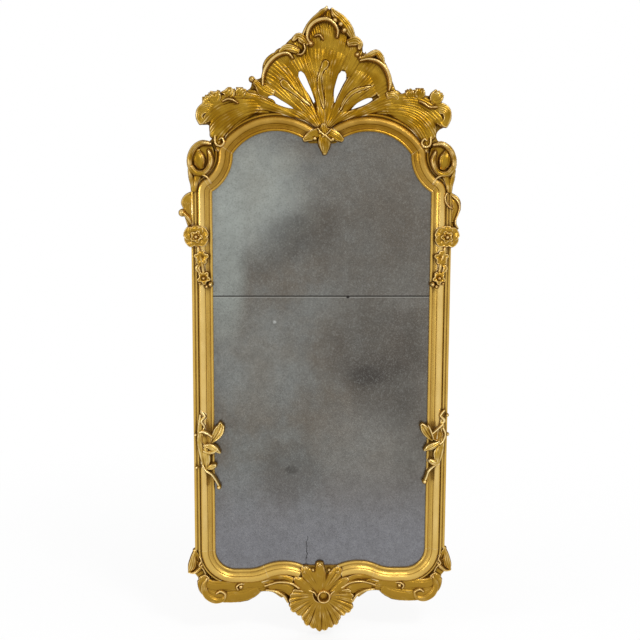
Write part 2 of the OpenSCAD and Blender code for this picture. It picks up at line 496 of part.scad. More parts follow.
APRON = [[
    [0, 0.2, [[354, -838, 14, 13], [336, -868, 24, 15], [304, -888, 34, 16], [262, -891, 36, 16],
        [222, -887, 36, 15], [190, -874, 28, 14]]],
    [1, 0, [[206, -868, 26, 13], [168, -861, 25, 14], [132, -864, 27, 15], [102, -882, 28, 17]]],
    [0, 0, [[330, -858, 5, 19], [332, -886, 7, 23], [318, -907, 8, 25], [294, -919, 7, 25],
        [266, -916, 4, 20]]],
    [0, 0, [[256, -878, 4, 18], [247, -890, 6, 22], [240, -903, 3, 18]]],
    [0, 0, [[164, -866, 4, 18], [126, -853, 5, 23], [90, -855, 6, 26], [64, -870, 6, 27]]],
    [0, 0, [[160, -878, 5, 20], [132, -882, 6, 22], [108, -896, 6, 23], [96, -916, 5, 22]]],
], []];
SHELL_HUB = [3, -893];
SHELL_REACH = [[-196, 84], [-186, 92], [-178, 97], [-153, 105], [-140, 96], [-130, 92], [-120, 105],
    [-105, 109], [-90, 117], [-75, 109], [-60, 105], [-50, 92], [-40, 97], [-27, 107], [-14, 98], [-2, 98],
    [6, 92], [16, 84]];
SHELL_EYE = [[
    [0, 0, [[14, -880, 4, 30], [0, -883, 5, 32], [-7, -897, 5, 32], [-1, -911, 5, 32], [13, -914, 5, 32],
        [25, -906, 5, 32], [26, -890, 5, 32], [16, -881, 5, 32], [5, -881, 4, 30]]],
], [[6, -896, 26, 19]]];
EYE_CORE = [10, -897, 23];             // the clasp stops short of the shell's eye
CLASP = [[
    [2, 0, [[3, -886, 9, 24], [0, -852, 16, 28], [-1, -828, 17, 30], [-1, -806, 8, 27], [-2, -789, 3, 23]]],
    [3, 0, [[-7, -886, 9, 23], [-24, -852, 18, 27], [-37, -828, 21, 29], [-46, -812, 12, 27],
        [-49, -807, 5, 25]]],
    [2, 0, [[-13, -884, 8, 22], [-42, -860, 16, 26], [-64, -845, 11, 28], [-84, -838, 3, 25]]],
    [3, 0, [[15, -886, 9, 23], [32, -852, 18, 27], [45, -830, 21, 29], [52, -814, 12, 27],
        [55, -806, 3, 24]]],
    [2, 0, [[22, -884, 8, 22], [50, -862, 16, 26], [72, -850, 13, 28], [90, -842, 3, 25]]],
], []];
CUSP_CLASP = [[
    [1, 0, [[-2, 462, 9, 20], [-22, 455, 13, 20], [-42, 446, 9, 18], [-56, 439, 2, 15]]],
    [1, 0, [[6, 462, 9, 20], [26, 455, 13, 20], [46, 446, 9, 18], [60, 439, 2, 15]]],
    [2, 0, [[4, 474, 8, 22], [4, 454, 14, 24], [5, 434, 19, 24], [6, 418, 15, 21], [6, 404, 6, 16],
        [5, 398, 1, 12]]],
    [0, 0, [[3, 500, 4, 22], [5, 480, 5, 26], [8, 462, 5, 28], [14, 446, 4, 27]]],
], [[-8, 466, 6, 28], [22, 440, 5, 24], [-18, 440, 5, 24]]];

// Each part of the drawing follows the part of the frame it lies on
module at_height(z, drawn_z) translate([0, z - drawn_z]) scale([spread, 1, 1]) children();
module at_crest() at_height(arch_top, drawn[1]) children();
module at_shoulder() at_height(corner.y, drawn[2]) children();
module at_stile() translate([half - drawn[0], 0]) children();
module at_foot() at_height(-foot_z, drawn[3]) children();
module at_clasp() at_height(clasp_p.y, drawn[4]) children();

carving_seat = board_front;
side_seat = lip_back + 4;              // carving that overhangs the glass clears it by this much
outer_seat = back + 4;                 // carving beside the stiles starts just off their back

module crest_work(sink = 0) { at_crest() carve(PALMETTE, carving_seat, sink); }
module top_work(sink = 0) { at_crest() carve(TOP_SCROLL, carving_seat, sink); }
module left_crest_work(sink = 0) { at_crest() carve(LEFT_CREST, carving_seat, sink); }
module right_crest_work(sink = 0) { at_crest() carve(RIGHT_CREST, carving_seat, sink); }
module left_plume_work(sink = 0) { at_shoulder() carve(LEFT_PLUME, carving_seat, sink); }
module right_plume_work(sink = 0) { at_shoulder() carve(RIGHT_PLUME, carving_seat, sink); }
module rose_work(sink = 0) { at_stile() carve(ROSE, outer_seat + 4, sink); }
module spur_work(work, sink = 0) { at_stile() carve(work, outer_seat, sink); }
module corner_work(sink = 0) { at_foot() carve(CORNER_LEAF, outer_seat, sink); }
module shell_work(sink = 0) at_clasp() {
    fan(SHELL_HUB, 22, SHELL_REACH, 16, 26, 24, carving_seat, sink);
    carve(SHELL_EYE, carving_seat, sink);
}
module clasp_work(sink = 0) { at_clasp() carve(CLASP, carving_seat, sink); }
module cusp_work(sink = 0) { at_crest() carve(CUSP_CLASP, side_seat, sink); }
module slots_cut(grow) at_crest() slab(0, far)
    offset(delta = grow) for (s = SLOTS) fill() polygon(outline(s));

// The frame's own wood, with its grooves filled and grown by the glue line, that the carving is cut to
cutter = concat([[rebate_w, 0], [rebate_w, lip_back], [0, lip_back], [0, lip_front + bead_w / 2],
    [bead_w, lip_front + bead_w / 2], [bead_w + 0.6, lip_front + 0.2], [bead_w + 7, lip_front + 0.2]],
    round_pts([nose_w - nose_r, nose_top - nose_r], (nose_r + glue_gap) / cos(15), 158, 10, 5),
    [[nose_w + 0.7, lip_front + 0.2], [outer_w - 0.5 + glue_gap, lip_front + 0.2],
     [outer_w - 0.5 + glue_gap, 0]]);
module arch_cut() {
    sides() for (i = concat(ARCH, SHOULDER, CORNER)) sweep(i, cutter, overlap);
    slab(back, bed_front) polygon(cusp_bed());
}
module foot_cut() {
    sides() for (i = concat(SWAY, RISE)) sweep(i, cutter, overlap);
    slab(back, bed_front) polygon(clasp_bed());
}
function cusp_bed() = let (top = arch_c + turned(cusp_a, arch_x / -cos(cusp_a)),
    edge = arc_pts(cusp_c, -cusp_r, 90, cusp_a, 0)) concat(edge, [top], flip(edge));
function clasp_bed() = let (u = outer_w + 4, low = clasp_p + turned(clasp_a, u))
    [clasp_p, low, [-low.x, low.y], [-clasp_p.x, clasp_p.y]];

// ---- Woodwork ----

module stile_face(pts) translate([half, corner.y]) rotate([90, 0, 0])
    linear_extrude(corner.y + foot_z) polygon(pts);
module stile_body() stile_face(profile(back, true));
module stile() difference() {
    union() {
        stile_body();
        moulding(CORNER);
    }
    for (x = dowel_x) for (y = [corner.y, -foot_z]) dowel(x, y, dowel_l + 1, hole_gap);
    for (x = batten_screw_x) for (r = batten_rows) for (s = [-1, 1])
        screw_hole(x, r + s * batten_screw_dz, screw_l);
    for (s = strap_screws) screw_hole(hanger_x, hanger_z - s, short_screw_l + back);
    for (y = sprig_rows) sprig(y, hole_gap);
}
module dowel(x, y, l, gap) translate([x, y, dowel_depth]) rotate([90, 0, 0])
    cylinder(h = l, r = dowel_d / 2 + gap, center = true);
module sprig(y, gap) translate([half + rebate_w + 8 + gap, y, back + backboard_sink - sprig_d / 2 - 0.1])
    rotate([0, -90, 0]) cylinder(h = sprig_l + gap, r = sprig_d / 2 + gap, $fn = 16);

// Ground of the carving: the outline of what it carries, closed up, set back and cut to the glass
module ground() offset(r = -board_inset - closing, $fn = 16) offset(r = closing, $fn = 16) fill() children();
module moulding_band() offset(delta = outer_w + 1) polygon(sight_edge(0));
module shoulders_shape() at_shoulder() {
    shape(LEFT_PLUME);
    shape(RIGHT_PLUME);
    sides() shape(EAR);
}
module crest_shape() at_crest() for (work = [PALMETTE, TOP_SCROLL, LEFT_CREST, RIGHT_CREST]) shape(work);
module apron_shape() {
    sides() at_foot() shape(APRON);
    at_clasp() {
        translate(SHELL_HUB) polygon(concat([[0, 0]], [for (p = SHELL_REACH) turned(p[0], p[1])]));
        shape(SHELL_EYE);
        shape(CLASP);
    }
}
module crest_area(g) translate([-crest_half + g, crest_split + g])
    square([2 * (crest_half - g), far]);

module head_board() color(pine) difference() {
    union() {
        slab(back, board_front) difference() {
            ground() { shoulders_shape(); crest_shape(); moulding_band(); }
            translate([-far, corner.y - far]) square([2 * far, far]);
            crest_area(0);
        }
        slab(board_front, bed_front) polygon(cusp_bed());
    }
    slab(0, lip_back) polygon(sight_edge(rebate_w));
    slab(0, far) polygon(sight_edge(0));
    sides() for (x = dowel_x) dowel(x, corner.y, dowel_l + 1, hole_gap);
    sides() for (x = crest_dowel_x) dowel(x, crest_split, crest_dowel_l + 1, hole_gap);
    brace_holes();
}
module crest_board() color(pine) difference() {
    slab(back, board_front) intersection() {
        ground() { crest_shape(); shoulders_shape(); moulding_band(); }
        crest_area(hole_gap);
    }
    slots_cut(3);
    sides() for (x = crest_dowel_x) dowel(x, crest_split, crest_dowel_l + 1, hole_gap);
    brace_holes();
}
module bottom_ground() slab(back, board_front) intersection() {
    ground() { apron_shape(); moulding_band(); }
    translate([-far, -foot_z - far]) square([2 * far, far]);
}
module bottom_board() color(pine) difference() {
    union() {
        bottom_ground();
        slab(board_front, bed_front) polygon(clasp_bed());
    }
    slab(0, lip_back) polygon(sight_edge(rebate_w));
    slab(0, far) polygon(sight_edge(0));
    sides() for (x = dowel_x) dowel(x, -foot_z, dowel_l + 1, hole_gap);
}
module moulding(pieces) color(gold) for (i = pieces) sweep(i, profile(board_front, false));
module left_stile() color(gold) mirror([1, 0]) stile();
module right_stile() color(gold) stile();
module right_arch_moulding() color(gold) difference() {
    moulding(ARCH);
    slab(0, far) translate([-2 * far, -far]) square(2 * far);   // arches that would cross are mitred
}
module left_arch_moulding() mirror([1, 0]) right_arch_moulding();
module left_shoulder_moulding() mirror([1, 0]) moulding(SHOULDER);
module right_shoulder_moulding() moulding(SHOULDER);
module left_sway_moulding() mirror([1, 0]) moulding(SWAY);
module right_sway_moulding() moulding(SWAY);
module left_rise_moulding() mirror([1, 0]) moulding(RISE);
module right_rise_moulding() moulding(RISE);
module dowels() color(pine) sides() {
    for (x = dowel_x) for (y = [corner.y, -foot_z]) dowel(x, y, dowel_l, 0);
    for (x = crest_dowel_x) dowel(x, crest_split, crest_dowel_l, 0);
}

// ---- The carving, each piece cut to what it meets ----

module palmette() color(gold) fused() difference() {
    crest_work();
    slots_cut(0);
    arch_cut();
    cusp_work(sink);
}
module top_scroll() color(gold) fused() difference() { top_work(); crest_work(sink); }
module left_crest_scroll() color(gold) fused() difference() {
    left_crest_work();
    crest_work(sink);
    top_work(sink);
    slots_cut(0);
}
module right_crest_scroll() color(gold) fused() difference() {
    right_crest_work();
    crest_work(sink);
    top_work(sink);
    slots_cut(0);
}
module left_plume() color(gold) fused() difference() {
    left_plume_work();
    crest_work(sink);
    left_crest_work(sink);
    arch_cut();
}
module right_plume() color(gold) fused() difference() {
    right_plume_work();
    crest_work(sink);
    right_crest_work(sink);
    arch_cut();
}
module ear() color(gold) fused() difference() {
    at_shoulder() carve(EAR, carving_seat);
    children();
    arch_cut();
    slab(0, far) translate([0, corner.y - far]) square([far, far]);
}
module left_ear() mirror([1, 0]) ear() mirror([1, 0]) left_plume_work(sink);
module right_ear() ear() right_plume_work(sink);
module spur(work) color(gold) fused() difference() {
    spur_work(work);
    stile_body();
    slab(0, far) translate([0, corner.y]) square(far);
}
module left_spur() mirror([1, 0]) spur(LEFT_SPUR);
module right_spur() spur(RIGHT_SPUR);
module rose(spur) color(gold) fused() difference() {
    rose_work();
    stile_body();
    rebate_cut();
    spur_work(spur, sink);
}
module rebate_cut() slab(0, lip_back + 1) square([half + rebate_w + 1, far]);
module left_rose() mirror([1, 0]) rose(LEFT_SPUR);
module right_rose() rose(RIGHT_SPUR);
module bellflowers() color(gold) fused() difference() {
    at_stile() carve(BELLFLOWERS, side_seat - 12);
    stile_body();
    rose_work(sink);
    rebate_cut();
}
module left_bellflowers() mirror([1, 0]) bellflowers();
module right_bellflowers() bellflowers();
module side_leaf(work) color(gold) fused() difference() { at_stile() carve(work, side_seat); stile_body(); }
module left_side_leaf() mirror([1, 0]) side_leaf(LEFT_SIDE_LEAF);
module right_side_leaf() side_leaf(RIGHT_SIDE_LEAF);
module corner_leaf() color(gold) fused() difference() {
    corner_work();
    stile_body();
    foot_cut();
    children();
    for (x = dowel_x) dowel(x, -foot_z, dowel_l + 1, hole_gap);
}
module left_corner_leaf() mirror([1, 0]) corner_leaf() mirror([1, 0]) bottom_ground();
module right_corner_leaf() corner_leaf() bottom_ground();
module apron_scroll() color(gold) fused() difference() {
    at_foot() carve(APRON, carving_seat);
    foot_cut();
    corner_work(sink);
    children();
}
module hub_cut() { shell_work(sink); clasp_work(sink); }
module left_apron_scroll() mirror([1, 0]) apron_scroll() mirror([1, 0]) hub_cut();
module right_apron_scroll() apron_scroll() hub_cut();
module shell() color(gold) fused() difference() { shell_work(); foot_cut(); }
module lower_clasp() color(gold) fused() difference() {
    clasp_work();
    shell_work(sink);
    at_clasp() slab(0, far) translate([EYE_CORE.x, EYE_CORE.y]) circle(EYE_CORE[2]);
    foot_cut();
    slab(0, side_seat) polygon(sight_edge(0));
    slab(0, lip_back + 1) polygon(sight_edge(rebate_w + 1));
}
module cusp_clasp() color(gold) fused() difference() { cusp_work(); arch_cut(); }

// ---- Glass and back ----

module plate(low, high) color("lightsteelblue") intersection() {
    slab(glass_back, lip_back) polygon(sight_edge(glass_lap));
    translate([-far, low, 0]) cube([2 * far, high - low, far]);
}
module upper_plate() plate(plate_gap / 2, far);
module lower_plate() plate(-far, -plate_gap / 2);
module backboard(low, high) color(pine) intersection() {
    slab(back + backboard_sink, back + backboard_sink + backboard_t) polygon(sight_edge(rebate_w - 1));
    translate([-far, low + backboard_gap / 2, 0]) cube([2 * far, high - low - backboard_gap, far]);
}
module backboard_1() backboard(-far, -backboard_low);
module backboard_2() backboard(-backboard_low, backboard_h - backboard_low);
module backboard_3() backboard(backboard_h - backboard_low, 2 * backboard_h - backboard_low);
module backboard_4() backboard(2 * backboard_h - backboard_low, far);
module glazing_blocks() color(pine) sides() {
    blocks_back = back + backboard_sink + backboard_t;
    for (y = block_rows) translate([half + 1, y - 15, blocks_back])
        cube([rebate_w - 1.5, 30, glass_back - blocks_back]);
    translate([sway_x + 4, -foot_z - foot_r - rebate_w, glass_back])
        cube([foot_c.x - sway_x - 8, rebate_w - glass_lap, plate_t]);
}
module sprigs() color(iron) sides() for (y = sprig_rows) sprig(y, 0);
module batten(y, screws) color(pine) difference() {
    translate([-batten_end, y - batten_w / 2, 0]) cube([2 * batten_end, batten_w, batten_t]);
    sides() for (x = batten_screw_x) for (s = [-1, 1]) screw_hole(x, y + s * batten_screw_dz, screw_l);
}
module upper_batten() batten(batten_rows[0]);
module middle_batten() batten(batten_rows[1]);
module lower_batten() batten(batten_rows[2]);
module screw(x, y, l, gap = 0, from = screw_sink) translate([x, y, from]) {
    cylinder(h = screw_d / 2 + gap, r1 = screw_d + gap, r2 = screw_d / 2 + gap);
    cylinder(h = l + gap, r = screw_d / 2 + gap);
}
module slotted_screw(x, y, l, from = screw_sink) difference() {
    screw(x, y, l, 0, from);
    translate([x - screw_d, y - 0.5, from - 1]) cube([2 * screw_d, 1, 1.9]);
}
module screw_hole(x, y, l) {
    screw(x, y, l, hole_gap);
    translate([x, y, -1]) cylinder(h = 1 + screw_sink + 0.01, r = screw_d + hole_gap);
}
module batten_screws() color(iron) sides() for (x = batten_screw_x) for (r = batten_rows)
    for (s = [-1, 1]) slotted_screw(x, r + s * batten_screw_dz, screw_l);
module on_crest() translate([0, arch_top - drawn[1]]) children();
module brace(i, side) color(pine) on_crest() difference() {
    translate([side * braces[i][0] - brace_w / 2, braces[i][1], 0]) cube([brace_w, braces[i][2], batten_t]);
    for (y = brace_screws[i][1]) screw_hole(side * braces[i][0], y, short_screw_l);
}
module centre_brace() brace(0, 1);
module left_brace() brace(1, -1);
module right_brace() brace(1, 1);
module brace_places() on_crest() for (b = brace_screws) for (side = b[0] > 100 ? [-1, 1] : [1])
    for (y = b[1]) translate([side * b[0], y]) children();
module brace_holes() brace_places() screw_hole(0, 0, short_screw_l);
module brace_screws_set() color(iron) brace_places() slotted_screw(0, 0, short_screw_l);

// ---- Hanging gear ----

module hanger() color(iron) difference() {
    union() {
        translate([hanger_x - strap_w / 2, hanger_z - strap_l + strap_w / 2, back - strap_t])
            cube([strap_w, strap_l - strap_w / 2, strap_t]);
        translate([hanger_x, hanger_z - strap_l + strap_w / 2, back - strap_t])
            cylinder(h = strap_t, r = strap_w / 2);
        translate([hanger_x, hanger_z, eye_depth]) rotate([0, 90, 0])
            cylinder(h = strap_w, r = eye_outer, center = true);
    }
    translate([hanger_x, hanger_z, eye_depth]) rotate([0, 90, 0])
        cylinder(h = strap_w + 2, r = eye_r, center = true);
    for (s = strap_screws) screw(hanger_x, hanger_z - s, short_screw_l, hole_gap, back - strap_t);
}
module left_hanger() mirror([1, 0]) hanger();
module right_hanger() hanger();
module ring() color(iron) translate([hanger_x, hanger_z, eye_depth]) {
    r = wire_d / 2;
    span = ring_w / 2 + r;
    leg = ring_l - span;
    rotate([0, 90, 0]) cylinder(h = 2 * span, r = r, center = true);
    for (s = [-1, 1]) {
        translate([s * span, 0]) sphere(r);
        translate([s * span, 0]) rotate([90, 0, 0]) cylinder(h = leg, r = r);
    }
    translate([0, -leg]) rotate(180) rotate_extrude(angle = 180) translate([span, 0]) circle(r);
}
module left_ring() mirror([1, 0]) ring();
module right_ring() ring();
module hanger_screws() color(iron) sides() for (s = strap_screws)
    slotted_screw(hanger_x, hanger_z - s, short_screw_l, back - strap_t);

module stand() rotate([90, 0, 0]) children();

stand() left_stile();
stand() right_stile();
stand() head_board();
stand() bottom_board();
stand() crest_board();
stand() left_arch_moulding();
stand() left_shoulder_moulding();
stand() right_arch_moulding();
stand() right_shoulder_moulding();
stand() left_sway_moulding();
stand() left_rise_moulding();
stand() right_sway_moulding();
stand() right_rise_moulding();
stand() dowels();
stand() palmette();
stand() top_scroll();
stand() left_crest_scroll();
stand() right_crest_scroll();
stand() left_plume();
stand() right_plume();
stand() left_ear();
stand() right_ear();
stand() left_spur();
stand() right_spur();
stand() left_rose();
stand() right_rose();
stand() left_bellflowers();
stand() right_bellflowers();
stand() left_side_leaf();
stand() right_side_leaf();
stand() left_corner_leaf();
stand() right_corner_leaf();
stand() left_apron_scroll();
stand() right_apron_scroll();
stand() shell();
stand() lower_clasp();
stand() cusp_clasp();
stand() upper_plate();
stand() lower_plate();
stand() backboard_1();
stand() backboard_2();
stand() backboard_3();
stand() backboard_4();
stand() glazing_blocks();
stand() sprigs();
stand() upper_batten();
stand() middle_batten();
stand() lower_batten();
stand() batten_screws();
stand() centre_brace();
stand() left_brace();
stand() right_brace();
stand() brace_screws_set();  // brace_screws
stand() left_hanger();
stand() right_hanger();
stand() left_ring();
stand() right_ring();
stand() hanger_screws();
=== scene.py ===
"""Looks of a carved giltwood pier mirror with two silvered plates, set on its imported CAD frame.

The carving is cut here a second time, from strokes at the places of those in the part's source, at
the fineness of a real gouge: each carved piece is a height map over its seat, meshed with its walls
and its flat back. Woodwork, plates, screws and hanging gear keep their CAD shapes and get their
finishes. The carver's drawing is in mm, as are its heights; what reaches Blender is in metres.
"""

import logging
import math
from dataclasses import dataclass, field
from enum import Enum
from typing import Any, Iterable, NamedTuple, Sequence

import bpy
import numpy as np
from mathutils import Matrix, Vector
from mathutils.geometry import delaunay_2d_cdt


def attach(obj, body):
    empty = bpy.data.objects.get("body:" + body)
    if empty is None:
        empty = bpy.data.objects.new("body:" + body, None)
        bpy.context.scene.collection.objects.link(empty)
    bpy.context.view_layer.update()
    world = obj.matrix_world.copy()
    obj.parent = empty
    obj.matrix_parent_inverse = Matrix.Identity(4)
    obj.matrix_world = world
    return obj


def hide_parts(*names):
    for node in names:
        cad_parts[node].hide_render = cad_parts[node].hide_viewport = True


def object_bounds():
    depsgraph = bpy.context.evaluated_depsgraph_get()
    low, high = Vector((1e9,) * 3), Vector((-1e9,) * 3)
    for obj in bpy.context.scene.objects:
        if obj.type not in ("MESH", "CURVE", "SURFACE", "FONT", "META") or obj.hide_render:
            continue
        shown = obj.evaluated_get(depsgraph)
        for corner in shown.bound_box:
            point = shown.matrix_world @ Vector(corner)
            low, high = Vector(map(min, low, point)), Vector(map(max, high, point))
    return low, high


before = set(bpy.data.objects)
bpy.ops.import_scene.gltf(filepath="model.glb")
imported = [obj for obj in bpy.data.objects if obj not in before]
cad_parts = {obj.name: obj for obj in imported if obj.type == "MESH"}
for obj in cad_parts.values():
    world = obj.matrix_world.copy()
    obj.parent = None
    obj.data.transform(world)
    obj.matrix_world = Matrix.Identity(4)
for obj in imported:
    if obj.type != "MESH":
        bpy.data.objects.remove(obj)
cad_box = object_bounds()

logging.basicConfig(level=logging.INFO, format="%(levelname)s %(message)s")
log = logging.getLogger("pier_mirror")

MM = 0.001
Colour = tuple[float, float, float]
Number = float | int


# ---- Shader building ----


class Wire:
    """A value that leaves a node, so that shader maths reads as Python."""

    def __init__(self, bench: "Bench", node: bpy.types.Node, out: str | int = 0) -> None:
        """Keeps the node and the output that the value leaves by.

        Args:
            bench: The material under construction.
            node: The node.
            out: Name or number of its output.
        """
        self.bench = bench
        self.node = node
        self.out = out

    @property
    def socket(self) -> bpy.types.NodeSocket:
        """The output socket."""
        return self.node.outputs[self.out]

    def other(self, out: str | int) -> "Wire":
        """Another output of the same node."""
        return Wire(self.bench, self.node, out)

    def __add__(self, other: "Wire | Number") -> "Wire":
        """Sum."""
        return self.bench.maths("ADD", self, other)

    __radd__ = __add__

    def __sub__(self, other: "Wire | Number") -> "Wire":
        """Difference."""
        return self.bench.maths("SUBTRACT", self, other)

    def __rsub__(self, other: Number) -> "Wire":
        """Difference from a number."""
        return self.bench.maths("SUBTRACT", other, self)

    def __mul__(self, other: "Wire | Number") -> "Wire":
        """Product."""
        return self.bench.maths("MULTIPLY", self, other)

    __rmul__ = __mul__

    def __truediv__(self, other: "Wire | Number") -> "Wire":
        """Quotient."""
        return self.bench.maths("DIVIDE", self, other)

    def __pow__(self, other: "Wire | Number") -> "Wire":
        """Power."""
        return self.bench.maths("POWER", self, other)

    def __gt__(self, other: "Wire | Number") -> "Wire":
        """1 where this is greater, else 0."""
        return self.bench.maths("GREATER_THAN", self, other)

    def __lt__(self, other: "Wire | Number") -> "Wire":
        """1 where this is less, else 0."""
        return self.bench.maths("LESS_THAN", self, other)

    def __abs__(self) -> "Wire":
        """Size without sign."""
        return self.bench.maths("ABSOLUTE", self)

    def spread(
        self, low: Number, high: Number, to_low: Number = 0.0, to_high: Number = 1.0
    ) -> "Wire":
        """Maps a span of this value smoothly onto another span.

        Args:
            low: Value that gives to_low.
            high: Value that gives to_high.
            to_low: Result at the low end.
            to_high: Result at the high end.

        Returns:
            The mapped value, held at both ends.
        """
        return self.bench.node(
            "ShaderNodeMapRange",
            {"interpolation_type": "SMOOTHSTEP"},
            {
                "Value": self, "From Min": low, "From Max": high,
                "To Min": to_low, "To Max": to_high,
            },
        )


class Bench:
    """The node tree of one material while it is made."""

    def __init__(self, name: str, world: bpy.types.World | None = None) -> None:
        """Starts an empty material, or empties a world's tree.

        Args:
            name: Name of the material.
            world: A world that is worked on in its place.
        """
        self.material = world or bpy.data.materials.new(name)
        self.material.use_nodes = True
        self.tree = self.material.node_tree
        self.tree.nodes.clear()

    def node(
        self,
        kind: str,
        settings: dict[str, Any] | None = None,
        inputs: dict[str | int, Any] | None = None,
        out: str | int = 0,
    ) -> Wire:
        """Adds a node.

        Args:
            kind: Type of the node.
            settings: Properties that are set first.
            inputs: A value or a wire for each socket.
            out: The output that is handed back.

        Returns:
            The wire that leaves it.
        """
        made = self.tree.nodes.new(kind)
        for key, value in (settings or {}).items():
            setattr(made, key, value)
        for key, value in (inputs or {}).items():
            if isinstance(value, Wire):
                self.tree.links.new(value.socket, made.inputs[key])
            else:
                made.inputs[key].default_value = value
        return Wire(self, made, out)

    def maths(self, operation: str, *values: "Wire | Number") -> Wire:
        """A Math node on numbers and wires."""
        return self.node("ShaderNodeMath", {"operation": operation}, dict(enumerate(values)))

    def mix(
        self, share: "Wire | Number", first: "Wire | Colour", second: "Wire | Colour"
    ) -> Wire:
        """Mixes two colours.

        Args:
            share: How much of the second shows.
            first: Colour at 0.
            second: Colour at 1.

        Returns:
            The mixed colour.
        """
        first, second = (c if isinstance(c, Wire) else (*c, 1.0) for c in (first, second))
        return self.node(
            "ShaderNodeMix",
            {"data_type": "RGBA", "blend_type": "MIX", "clamp_factor": True},
            {0: share, 6: first, 7: second},
            out=2,
        )

    def place(self) -> Wire:
        """The point on the object, in metres."""
        return self.node("ShaderNodeTexCoord", out="Object")

    def facing(self) -> Wire:
        """Part of the surface's direction that points at the wall, from -1 to 1."""
        return self.axes(self.node("ShaderNodeNewGeometry", out="Normal"))[1]

    def axes(self, vector: Wire) -> tuple[Wire, Wire, Wire]:
        """The three numbers of a vector."""
        parts = self.node("ShaderNodeSeparateXYZ", inputs={0: vector})
        return parts, parts.other(1), parts.other(2)

    def stretched(self, vector: Wire, scale: Colour) -> Wire:
        """A vector multiplied part by part."""
        return self.node(
            "ShaderNodeVectorMath", {"operation": "MULTIPLY"}, {0: vector, 1: scale}
        )

    def noise(
        self, vector: Wire, scale: float, detail: float = 2.0, rough: float = 0.5
    ) -> Wire:
        """A cloud of values about 0.5.

        Args:
            vector: Where it is read.
            scale: Clouds to the metre.
            detail: Number of finer layers.
            rough: Strength of the finer layers.

        Returns:
            The value.
        """
        return self.node(
            "ShaderNodeTexNoise",
            inputs={"Vector": vector, "Scale": scale, "Detail": detail, "Roughness": rough},
        )

    def openness(self, distance: float, inside: bool = False) -> Wire:
        """How open the surroundings are: low in a crease, or at an edge if it looks inside.

        Args:
            distance: How far it looks, in metres.
            inside: Whether it looks into the solid.

        Returns:
            The share that is open.
        """
        return self.node(
            "ShaderNodeAmbientOcclusion",
            {"samples": 8, "inside": inside},
            {"Distance": distance},
            out="AO",
        )

    def bump(
        self, height: Wire, depth: float, strength: float, over: Wire | None = None
    ) -> Wire:
        """A Bump node.

        Args:
            height: Height from 0 to 1.
            depth: Height of 1, in metres.
            strength: Share of the bump that shows.
            over: A normal that it lies on.

        Returns:
            The normal.
        """
        inputs: dict[str | int, Any] = {
            "Height": height, "Distance": depth, "Strength": strength,
        }
        if over is not None:
            inputs["Normal"] = over
        return self.node("ShaderNodeBump", inputs=inputs)

    def surface(self, **sockets: Any) -> bpy.types.Material:
        """Ends the material in one Principled shader.

        Args:
            **sockets: Value or wire for each socket, with _ for a space.

        Returns:
            The finished material.
        """
        inputs = {
            key.replace("_", " "): (*value, 1.0) if isinstance(value, tuple) else value
            for key, value in sockets.items()
        }
        shader = self.node("ShaderNodeBsdfPrincipled", inputs=inputs)
        self.node("ShaderNodeOutputMaterial", inputs={"Surface": shader})
        return self.material


# ---- Finishes ----

PINE_PALE: Colour = (0.32, 0.195, 0.095)
PINE_DARK: Colour = (0.215, 0.122, 0.055)


